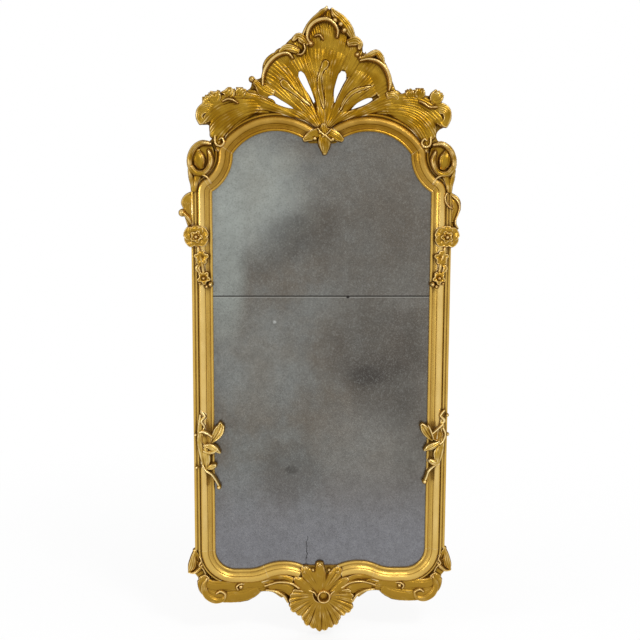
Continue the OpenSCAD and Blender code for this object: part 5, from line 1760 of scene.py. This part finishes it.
# The spurs: the left one with a knob on a stem, the right one a curling leaf
LEFT_SPUR = Work(
    (
        dish(0.2, (364, 293, 6, 16), (373, 278, 12, 21), (378, 260, 15, 24), (378, 242, 15, 24),
            (376, 222, 12, 22), (374, 203, 8, 19)),
        leaf(3, 0.3, (364, 291, 8, 18), (376, 279, 14, 24), (385, 265, 14, 27), (384, 251, 9, 24)),
        leaf(2, 0.3, (374, 262, 12, 20), (376, 242, 14, 24), (373, 222, 12, 23), (369, 206, 8, 19)),
        roll((395, 240, 6, 29), (386, 232, 7, 30), (376, 220, 7, 28), (369, 205, 6, 24)),
    ),
    (Boss(395, 237, 11, 31),),
)
RIGHT_SPUR = Work(
    (
        dish(0.4, (363, 293, 6, 16), (372, 280, 11, 20), (379, 264, 14, 22), (379, 246, 14, 22),
            (375, 228, 12, 19), (375, 210, 10, 17), (381, 196, 8, 18)),
        roll((368, 288, 3, 25), (384, 274, 5, 30), (391, 256, 5, 31), (387, 236, 4, 30),
            (381, 219, 4, 28), (381, 205, 5, 28), (389, 194, 3, 26)),
        roll((353, 295, 4, 37), (348, 284, 5, 40), (350, 270, 5, 40), (359, 258, 5, 34),
            (370, 252, 4, 28)),
        leaf(3, 0.3, (366, 289, 8, 19), (379, 275, 13, 25), (384, 257, 14, 27), (380, 238, 12, 25),
            (374, 217, 9, 21)),
    ),
)
# The rose, and the chain of flowers that hangs from it: its stem, a ruffle, a small flower, buds
ROSE = Work(
    (
        roll((352, 196, 8, 34), (352, 184, 24, 36), (352, 170, 29, 37), (352, 156, 24, 36),
            (352, 145, 8, 34)),
        *Whorl(355, 171, 34, 10, (
            (95, 21, 20), (150, 24, 21), (212, 24, 20), (268, 18, 18), (325, 24, 20), (25, 25, 21),
        )).strokes(),
        *Whorl(355, 171, 42, 7, tuple((angle, 11, 9) for angle in range(40, 400, 72))).strokes(),
    ),
    (Boss(355, 171, 6.5, 52), Boss(348, 176, 4, 49), Boss(361, 166, 4, 49)),
)
FLOWERS = Work(
    (
        roll((350, 140, 6, 30), (347, 122, 8, 31), (341, 100, 8, 31), (337, 78, 7, 30),
            (335, 62, 7, 30)),
        leaf(1, 0.2, (346, 92, 6, 31), (352, 82, 9, 34), (346, 70, 6, 32)),
        *Whorl(341, 112, 30, 7, tuple((a, 13, 10) for a in (20, 95, 165, 235, 305))).strokes(),
        *Whorl(335, 54, 31, 7, tuple((a, 12, 9) for a in (50, 125, 195, 265, 335))).strokes(),
    ),
    (Boss(335, 54, 6, 41), Boss(316, 36, 8, 38), Boss(327, 30, 6, 36), Boss(346, 38, 5, 35)),
)
# The sprays over the glass: stem, big leaf, cup, twisted leaf and a tail with a bud
LEFT_SPRAY = Work(
    (
        leaf(2, 0, (350, -345, 4, 15), (350, -372, 8, 18), (351, -400, 9, 19), (351, -430, 9, 18),
            (347, -460, 8, 17), (341, -490, 6, 16)),
        roll((344, -334, 4, 15), (337, -348, 6, 20), (346, -362, 6, 21), (338, -378, 5, 19),
            (346, -392, 4, 19)),
        leaf(2, 0.5, (318, -422, 7, 19), (307, -408, 13, 23), (297, -392, 16, 26),
            (292, -379, 13, 25), (292, -370, 6, 22)),
        dish(1, (336, -398, 9, 20), (332, -414, 17, 25), (330, -430, 10, 21)),
        roll((352, -394, 4, 23), (342, -391, 6, 27), (328, -397, 6, 28), (316, -406, 4, 26)),
        leaf(2, 0.2, (338, -434, 6, 20), (322, -436, 10, 26), (307, -444, 10, 26),
            (294, -455, 4, 22)),
        roll((340, -450, 5, 21), (326, -454, 7, 25), (311, -452, 6, 25), (300, -444, 4, 23)),
        leaf(3, 0, (335, -442, 8, 18), (333, -460, 12, 22), (331, -480, 11, 22),
            (333, -498, 6, 18)),
        leaf(1, 0, (332, -502, 5, 18), (320, -498, 10, 24), (308, -493, 8, 23)),
        roll((344, -492, 4, 18), (334, -508, 5, 22), (318, -520, 5, 22), (306, -538, 5, 21),
            (298, -554, 5, 20)),
    ),
    (Boss(297, -559, 7, 23), Boss(364, -402, 5, 19), Boss(362, -500, 5, 18)),
)
RIGHT_SPRAY = Work(
    (
        leaf(2, 0, (352, -345, 4, 15), (352, -372, 8, 18), (354, -404, 8, 19), (353, -436, 8, 18),
            (350, -462, 8, 17), (344, -488, 6, 16)),
        roll((358, -334, 4, 15), (348, -348, 6, 20), (357, -362, 6, 21), (347, -378, 5, 19)),
        leaf(2, 0.5, (324, -418, 7, 19), (312, -403, 12, 23), (302, -388, 13, 26),
            (294, -376, 7, 23)),
        dish(1, (342, -388, 9, 20), (340, -402, 16, 25), (338, -418, 10, 21)),
        roll((311, -376, 3, 25), (319, -392, 4, 28), (327, -416, 3, 26)),
        roll((352, -374, 4, 25), (338, -386, 5, 28), (325, -398, 4, 28)),
        roll((354, -384, 4, 23), (361, -400, 5, 25), (357, -420, 4, 23), (347, -432, 4, 22)),
        leaf(2, 0.2, (344, -428, 6, 20), (329, -436, 10, 26), (314, -443, 10, 26),
            (302, -451, 4, 22)),
        leaf(3, 0, (344, -440, 8, 18), (339, -458, 12, 22), (338, -474, 10, 22),
            (342, -492, 6, 18)),
        leaf(1, 0, (342, -492, 5, 18), (330, -488, 10, 24), (318, -482, 8, 23)),
        roll((340, -492, 4, 18), (327, -501, 5, 22), (315, -514, 5, 22), (309, -532, 5, 21),
            (305, -542, 5, 20)),
    ),
    (Boss(304, -546, 7, 23), Boss(367, -347, 5, 19), Boss(369, -404, 5, 19)),
)
# The leaf at each lower corner: its root, its blades and its curls
CORNER_LEAF = Work(
    (
        roll((352, -786, 4, 9), (345, -812, 15, 13), (334, -838, 20, 13), (322, -864, 18, 13)),
        dish(0.2, (360, -760, 12, 16), (366, -785, 15, 18), (370, -808, 16, 19),
            (358, -828, 14, 20), (346, -848, 12, 19), (336, -868, 11, 18)),
        leaf(1, 0, (368, -757, 6, 20), (374, -778, 10, 25), (378, -800, 13, 28),
            (384, -815, 10, 26), (391, -826, 2, 20)),
        roll((350, -800, 6, 28), (360, -815, 8, 31), (374, -824, 6, 29), (388, -825, 3, 24)),
        leaf(2, 0.3, (362, -806, 10, 21), (372, -797, 12, 25), (380, -801, 9, 25),
            (387, -808, 3, 21)),
        leaf(2, 0.3, (362, -790, 9, 20), (368, -772, 11, 25), (373, -759, 5, 21)),
        roll((358, -774, 3, 26), (351, -787, 5, 31), (358, -800, 5, 31), (347, -812, 5, 28),
            (340, -828, 4, 26)),
        roll((338, -834, 4, 25), (330, -842, 5, 28), (334, -854, 5, 27), (326, -864, 4, 25)),
    ),
)
# The rolls and curls of the apron, up to the moulding and the shell
APRON_SCROLL = Work(
    (
        roll((350, -838, 14, 14), (338, -856, 18, 17), (318, -866, 20, 19), (280, -866, 20, 19),
            (240, -862, 20, 18), (204, -860, 20, 17), (176, -860, 18, 15)),
        roll((354, -850, 12, 14), (342, -876, 18, 18), (314, -893, 20, 20), (276, -899, 20, 20),
            (240, -897, 20, 19), (210, -889, 19, 18), (188, -876, 17, 16)),
        roll((336, -842, 6, 20), (345, -866, 10, 24), (335, -892, 13, 27), (312, -907, 12, 27),
            (289, -904, 9, 26), (282, -889, 7, 25), (296, -879, 6, 25), (308, -886, 4, 25)),
        roll((226, -858, 3, 20), (238, -857, 5, 25), (248, -865, 5, 26), (244, -874, 4, 25)),
        roll((176, -846, 9, 16), (146, -838, 11, 19), (112, -838, 12, 21), (84, -848, 12, 22)),
        roll((150, -866, 20, 16), (116, -868, 20, 19), (94, -876, 20, 21), (80, -890, 17, 21)),
        leaf(1, 0, (206, -868, 26, 13), (168, -861, 25, 14), (132, -864, 27, 15),
            (102, -882, 28, 17)),
        roll((164, -866, 4, 18), (126, -853, 5, 23), (90, -855, 6, 26), (64, -870, 6, 27)),
        roll((160, -878, 5, 20), (132, -882, 6, 22), (108, -896, 6, 23), (96, -916, 5, 22)),
    ),
    (Boss(236, -866, 8, 26),),
)
# The shell: how far its rim reaches at each angle, and the ring round its eye
SHELL_REACH = ((-196, 84), (-186, 92), (-178, 97), (-153, 105), (-140, 96), (-130, 92), (-120, 105),
    (-105, 109), (-90, 117), (-75, 109), (-60, 105), (-50, 92), (-40, 97), (-27, 107), (-14, 98),
    (-2, 98), (6, 92), (16, 84))
SHELL_EYE = Work(
    (
        roll((14, -880, 4, 30), (0, -883, 5, 32), (-7, -897, 5, 32), (-1, -911, 5, 32),
            (13, -914, 5, 32), (25, -906, 5, 32), (26, -890, 5, 32), (16, -881, 5, 32),
            (5, -881, 4, 30)),
    ),
    (Boss(6, -896, 26, 19),),
)
# The leaf of five blades that clasps the lower edge over the shell
LOWER_CLASP = Work(
    (
        roll((3, -886, 9, 24), (0, -852, 19, 26), (-1, -828, 20, 28), (-2, -806, 15, 27),
            (-2, -796, 12, 25)),
        roll((-7, -886, 9, 23), (-22, -852, 21, 26), (-36, -830, 23, 28), (-44, -820, 18, 27)),
        roll((-24, -888, 12, 23), (-46, -868, 19, 25), (-62, -852, 18, 27), (-76, -842, 10, 25)),
        roll((15, -886, 9, 23), (32, -852, 21, 26), (44, -832, 23, 28), (50, -822, 18, 27)),
        roll((34, -888, 12, 23), (55, -870, 19, 25), (70, -854, 18, 27), (82, -845, 10, 25)),
        roll((-34, -878, 3, 26), (-18, -884, 4, 29), (-12, -895, 3, 30)),
        roll((42, -880, 3, 26), (32, -888, 4, 29), (30, -898, 3, 30)),
    ),
    (Boss(-2, -800, 9, 30, 4), Boss(-46, -820, 9, 29, 4), Boss(51, -822, 9, 29, 4),
        Boss(-22, -815, 6, 28), Boss(25, -815, 6, 28)),
)


# ---- Sub-assemblies ----

BOARD_FACE = 28.0
LIP_FACE = 40.0
STILE_SIDE = 16.0
EAR_FOOT = 296.4


@dataclass
class CarvedPiece:
    """One carved piece, cut over its seat, that stands for its CAD node.

    Seats are depths from the wall in mm. Where the heights are drawn over another seat, drawn_over
    gives it. Lowest and highest are the levels at which the piece is sawn off square.
    """

    node: str
    work: Work
    seat: float
    drawn_over: float | None = None
    fans: tuple[Fan, ...] = ()
    flow: Flow | None = None
    strips: Sequence[Band] = ()
    slots: Sequence[Band] = ()
    lowest: float = -math.inf
    highest: float = math.inf

    def build(self) -> bpy.types.Object:
        """Cuts the piece and sets it in the place of its node.

        Returns:
            The new object.
        """
        relief = Relief.of(self.work, self.fans, self.flow)
        for strip in self.strips:
            relief.strip(strip)
        relief.pierce(self.slots)
        if self.drawn_over is not None:
            relief.body = relief.body - (self.seat - self.drawn_over)
        margin = relief.gouge.margin
        low, high = (np.array(corner) / MM for corner in cad_box)
        relief.bound(
            (low[0] + margin, max(self.lowest, low[2] + margin)),
            (high[0] - margin, min(self.highest, high[2] - margin)),
            -low[1] - self.seat - margin,
        )
        made = Skin(relief).object(f"carved_{self.node}", self.seat)
        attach(made, "frame")
        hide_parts(self.node)
        return made


@dataclass
class Carvings:
    """A group of carved pieces that share a finish."""

    made: list[bpy.types.Object] = field(default_factory=list, init=False)

    def pieces(self) -> list[CarvedPiece]:
        """The pieces of the group."""
        raise NotImplementedError

    def build(self) -> None:
        """Cuts every piece."""
        for piece in self.pieces():
            self.made.append(piece.build())
            log.info("%s: %d faces", piece.node, len(self.made[-1].data.polygons))

    def dress(self, finish: bpy.types.Material) -> None:
        """Gilds every piece."""
        for made in self.made:
            made.data.materials.append(finish)


@dataclass
class Crest(Carvings):
    """The pierced palmette with its scrolls, and the clasp on the cusp between the arches."""

    seat: float = BOARD_FACE
    clasp_seat: float = LIP_FACE
    palm: Flow = Flow()
    right_palm: Flow = Flow(calm=(160.0, 618.0, 14.0))
    scroll_share: float = 0.8
    top_share: float = 0.75

    def pieces(self) -> list[CarvedPiece]:
        """The pieces of the crest.

        Returns:
            One for each carved node.
        """
        palm, seat = self.palm, self.seat
        left, right = (work.slimmer(self.scroll_share) for work in (LEFT_CREST, RIGHT_CREST))
        top = TOP_SCROLL.slimmer(self.top_share)
        return [
            CarvedPiece("palmette", PALMETTE, seat, flow=palm, strips=STRIPS, slots=SLOTS),
            CarvedPiece("top_scroll", top, seat, flow=palm),
            CarvedPiece("left_crest_scroll", left, seat, flow=palm, slots=SLOTS),
            CarvedPiece("right_crest_scroll", right, seat, flow=self.right_palm, slots=SLOTS),
            CarvedPiece("cusp_clasp", CUSP_CLASP, self.clasp_seat),
        ]


@dataclass
class Shoulders(Carvings):
    """The plumes and the scrolled ears over the upper corners."""

    seat: float = BOARD_FACE
    foot: float = EAR_FOOT
    left_flow: Flow = Flow((-70.0, 500.0), bend=0.5, reeds=7.5, groups=9.0, swell=4.2)
    right_flow: Flow = Flow((76.0, 500.0), bend=0.5, reeds=7.5, groups=9.0, swell=4.2)

    def pieces(self) -> list[CarvedPiece]:
        """The pieces of both shoulders.

        Returns:
            One for each carved node.
        """
        return [
            CarvedPiece("left_plume", LEFT_PLUME, self.seat, flow=self.left_flow),
            CarvedPiece("right_plume", RIGHT_PLUME, self.seat, flow=self.right_flow),
            CarvedPiece("left_ear", EAR.mirrored(), self.seat, lowest=self.foot),
            CarvedPiece("right_ear", EAR, self.seat, lowest=self.foot),
        ]


@dataclass
class StileCarvings(Carvings):
    """Spurs, roses and bellflowers down both stiles."""

    spur_seat: float = STILE_SIDE
    spur_top: float = EAR_FOOT
    rose_seat: float = 20.0
    flower_seat: float = 37.2

    def pieces(self) -> list[CarvedPiece]:
        """The pieces of both stiles.

        Returns:
            One for each carved node.
        """
        seat, over = self.flower_seat, BOARD_FACE
        left_spur = LEFT_SPUR.mirrored()
        return [
            CarvedPiece("left_spur", left_spur, self.spur_seat, highest=self.spur_top),
            CarvedPiece("right_spur", RIGHT_SPUR, self.spur_seat, highest=self.spur_top),
            CarvedPiece("left_rose", ROSE.mirrored(), self.rose_seat),
            CarvedPiece("right_rose", ROSE, self.rose_seat),
            CarvedPiece("left_bellflowers", FLOWERS.mirrored(), seat, drawn_over=over),
            CarvedPiece("right_bellflowers", FLOWERS, seat, drawn_over=over),
        ]


@dataclass
class Apron(Carvings):
    """The corner leaves, the apron scrolls, the shell and the leaf that clasps the lower edge."""

    seat: float = BOARD_FACE
    corner_seat: float = STILE_SIDE
    clasp_seat: float = LIP_FACE
    shell: Fan = Fan((3, -893), 22, SHELL_REACH, 20, (23, 28))
    clasp_flow: Flow = Flow((3.0, -900.0), bend=0.25, reach=110.0, reeds=9.0)

    def pieces(self) -> list[CarvedPiece]:
        """The pieces of the apron.

        Returns:
            One for each carved node.
        """
        return [
            CarvedPiece("left_corner_leaf", CORNER_LEAF.mirrored(), self.corner_seat),
            CarvedPiece("right_corner_leaf", CORNER_LEAF, self.corner_seat),
            CarvedPiece("left_apron_scroll", APRON_SCROLL.mirrored(), self.seat),
            CarvedPiece("right_apron_scroll", APRON_SCROLL, self.seat),
            CarvedPiece("shell", SHELL_EYE, self.seat, fans=(self.shell,)),
            CarvedPiece(
                "lower_clasp", LOWER_CLASP, self.clasp_seat, drawn_over=self.seat,
                flow=self.clasp_flow,
            ),
        ]


@dataclass
class SideLeaves(Carvings):
    """The sprays of leaves that reach over the glass from both stiles."""

    seat: float = LIP_FACE

    def pieces(self) -> list[CarvedPiece]:
        """Both sprays."""
        return [
            CarvedPiece("left_side_leaf", LEFT_SPRAY.mirrored(), self.seat),
            CarvedPiece("right_side_leaf", RIGHT_SPRAY, self.seat),
        ]


def dress_nodes(names: Iterable[str], finish: bpy.types.Material) -> None:
    """Puts a finish on CAD nodes, whose meshes stay as they are.

    Args:
        names: The nodes.
        finish: The material.
    """
    for name in names:
        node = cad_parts[name]
        if not node.material_slots:
            node.data.materials.append(finish)
        for slot in node.material_slots:
            slot.material = finish
        log.info("%s: %s", name, finish.name)


@dataclass
class Joinery:
    """The gilded stiles and mouldings, and the bare pine behind them, in their CAD shapes."""

    sides: tuple[str, ...] = ("left", "right")
    runs: tuple[str, ...] = ("arch", "shoulder", "sway", "rise")
    upright: tuple[str, ...] = (
        "centre_brace", "left_brace", "right_brace", "glazing_blocks", "dowels",
    )
    battens: tuple[str, ...] = ("upper_batten", "middle_batten", "lower_batten")
    backs: tuple[str, ...] = ("backboard_1", "backboard_2", "backboard_3", "backboard_4")
    boards: tuple[str, ...] = ("head_board", "bottom_board", "crest_board")
    back_pale: Colour = (0.225, 0.135, 0.066)
    back_dark: Colour = (0.150, 0.085, 0.040)

    def dress(self) -> None:
        """Gives stiles, mouldings, boards and battens their finishes."""
        across, up = Grain.ALONG_X, Grain.ALONG_Z
        mouldings = [f"{side}_{run}_moulding" for side in self.sides for run in self.runs]
        back = OldPine("pine_back", across, self.back_pale, self.back_dark)
        for names, finish in (
            ([f"{side}_stile" for side in self.sides], StileGilding("gilt_stile")),
            (mouldings, MouldingGilding("gilt_moulding")),
            (self.battens, OldPine("pine_batten", across)),
            (self.upright, OldPine("pine_upright", up)),
            (self.backs, back),
            (self.boards, GildedPine("pine_board", across)),
        ):
            dress_nodes(names, finish.material())


@dataclass
class Glazing:
    """The two silvered plates."""

    plates: tuple[str, ...] = ("upper_plate", "lower_plate")

    def dress(self) -> None:
        """Gives the plates their old silvering."""
        dress_nodes(self.plates, OldSilvering("old_silvering").material())


@dataclass
class Ironwork:
    """Screws, sprigs, hangers and hanging rings."""

    nodes: tuple[str, ...] = (
        "sprigs", "batten_screws", "brace_screws", "hanger_screws",
        "left_hanger", "right_hanger", "left_ring", "right_ring",
    )

    def dress(self) -> None:
        """Gives the iron its rust."""
        dress_nodes(self.nodes, OldIron("old_iron").material())


# ---- Studio ----


class Lamp(NamedTuple):
    """A square lamp that faces the glass: place and side in metres, power in watts."""

    name: str
    place: tuple[float, float, float]
    side: float
    watts: float
    mirrored: bool = True


@dataclass
class Studio:
    """Camera, lamps, sky and floor, in metres and degrees, with lens and sensor in mm."""

    target: tuple[float, float, float] = (0.0, -0.03, -0.07)
    distance: float = 3.2
    elevation: float = 8.326
    azimuth: float = -2.307
    roll: float = 0.280
    lens: float = 62.46
    sensor: float = 36.0
    shift: float = -1.44 / 640
    view_end: float = 200.0
    lamps: tuple[Lamp, ...] = (
        Lamp("key", (1.3, -2.3, 2.1), 0.7, 42.0),
        Lamp("side", (-2.6, -1.6, 0.6), 1.0, 20.0),
        Lamp("low", (0.3, -2.4, -0.75), 0.9, 7.0, mirrored=False),
        Lamp("behind", (0.6, 2.4, 1.6), 1.4, 30.0),
    )
    sky: float = 0.72
    floor_gap: float = 0.012
    floor_size: float = 60.0
    floor_tone: float = 0.86
    floor_near: tuple[float, float] = (0.5, 0.84)
    floor_far: tuple[float, float] = (2.5, 1.0)

    @staticmethod
    def _place(name: str, data: Any) -> bpy.types.Object:
        """Makes an object and links it to the scene.

        Args:
            name: Its name.
            data: Its camera, light or mesh.

        Returns:
            The object.
        """
        made = bpy.data.objects.new(name, data)
        bpy.context.scene.collection.objects.link(made)
        return made

    def camera(self) -> None:
        """Sets the camera where the photograph was taken from."""
        e, a, r = (math.radians(v) for v in (self.elevation, self.azimuth, self.roll))
        level = math.cos(e)
        ahead = Vector((-level * math.sin(a), level * math.cos(a), -math.sin(e)))
        right = Vector((math.cos(a), math.sin(a), 0.0))
        up = right.cross(ahead)
        x = right * math.cos(r) + up * math.sin(r)
        y = up * math.cos(r) - right * math.sin(r)
        data = bpy.data.cameras.new("camera")
        data.lens, data.sensor_width, data.shift_x = self.lens, self.sensor, self.shift
        data.clip_end = self.view_end
        place = Matrix((x, y, -ahead)).transposed().to_4x4()
        place.translation = Vector(self.target) - ahead * self.distance
        made = self._place("camera", data)
        made.matrix_world = place
        bpy.context.scene.camera = made

    def hang(self, lamp: Lamp) -> None:
        """Hangs a lamp.

        Args:
            lamp: The lamp.
        """
        data = bpy.data.lights.new(lamp.name, "AREA")
        data.size, data.energy = lamp.side, lamp.watts
        made = self._place(lamp.name, data)
        made.location = lamp.place
        ahead = Vector(self.target) - Vector(lamp.place)
        made.rotation_euler = ahead.to_track_quat("-Z", "Y").to_euler()
        made.visible_glossy = lamp.mirrored

    @staticmethod
    def seen(bench: Bench) -> Wire:
        """Whether a ray shows the background: those of the camera, of gloss and of glass do.

        Args:
            bench: The tree under construction.

        Returns:
            1 for such a ray, else 0.
        """
        camera, gloss, glass = (
            bench.node("ShaderNodeLightPath", out=f"Is {kind} Ray")
            for kind in ("Camera", "Glossy", "Transmission")
        )
        return bench.maths("MINIMUM", camera + gloss + glass, 1.0)

    def world(self) -> None:
        """Makes a plain soft sky, which is white where it is seen."""
        world = bpy.data.worlds.new("sky")
        bench = Bench("sky", world)
        strength = self.sky + self.seen(bench) * (1.0 - self.sky)
        shade = bench.node(
            "ShaderNodeBackground", inputs={"Color": (1, 1, 1, 1), "Strength": strength}
        )
        bench.node("ShaderNodeOutputWorld", inputs={"Surface": shade})
        bpy.context.scene.world = world

    def floor(self, foot: float) -> None:
        """Lays a pale floor that keeps a soft shadow.

        Args:
            foot: Height of the lowest point of the frame.
        """
        s, z = self.floor_size / 2, foot - self.floor_gap
        mesh = bpy.data.meshes.new("floor")
        mesh.from_pydata([(-s, -s, z), (s, -s, z), (s, s, z), (-s, s, z)], [], [(0, 1, 2, 3)])
        made = self._place("floor", mesh)
        bench = Bench("floor_paint")
        x, y, _ = bench.axes(bench.place())
        away = (x * x + y * y) ** 0.5
        (near, near_share), (far, far_share) = self.floor_near, self.floor_far
        share = self.seen(bench) * away.spread(near, far, near_share, far_share)
        paint = bench.node(
            "ShaderNodeBsdfDiffuse", inputs={"Color": (*(self.floor_tone,) * 3, 1)}
        )
        white = bench.node("ShaderNodeEmission", inputs={"Color": (1, 1, 1, 1), "Strength": 1.0})
        both = bench.node("ShaderNodeMixShader", inputs={0: share, 1: paint, 2: white})
        bench.node("ShaderNodeOutputMaterial", inputs={"Surface": both})
        mesh.materials.append(bench.material)

    def build(self, foot: float) -> None:
        """Sets up the whole studio.

        Args:
            foot: Height of the lowest point of the frame, which the floor lies below.
        """
        self.camera()
        for lamp in self.lamps:
            self.hang(lamp)
        self.world()
        self.floor(foot)
        bpy.context.scene.view_settings.view_transform = "Standard"


CARVING_GOLD = Gilding("gilt_carving", low_leaf=(0.37, 0.205, 0.024))
# Gilding of the sprays: paler leaf, a paler painted highlight on its ridges, and less painted shade
# in its hollows.
SPRAY_GOLD = Gilding(
    "gilt_spray",
    leaf=(0.42, 0.25, 0.035),
    pale_leaf=(0.62, 0.42, 0.11),
    rubbed_highlight=(0.95, 0.76, 0.38),
    dirt_and_shade=0.85,
)


def main() -> None:
    """Builds and dresses the pier mirror, and sets the studio about it."""
    Studio().build(cad_box[0].z)
    for gold, groups in (
        (CARVING_GOLD, (Crest(), Shoulders(), StileCarvings(), Apron())),
        (SPRAY_GOLD, (SideLeaves(),)),
    ):
        finish = gold.material()
        for carvings in groups:
            carvings.build()
            carvings.dress(finish)
    for part in (Joinery(), Glazing(), Ironwork()):
        part.dress()


if __name__ == "__main__":
    main()
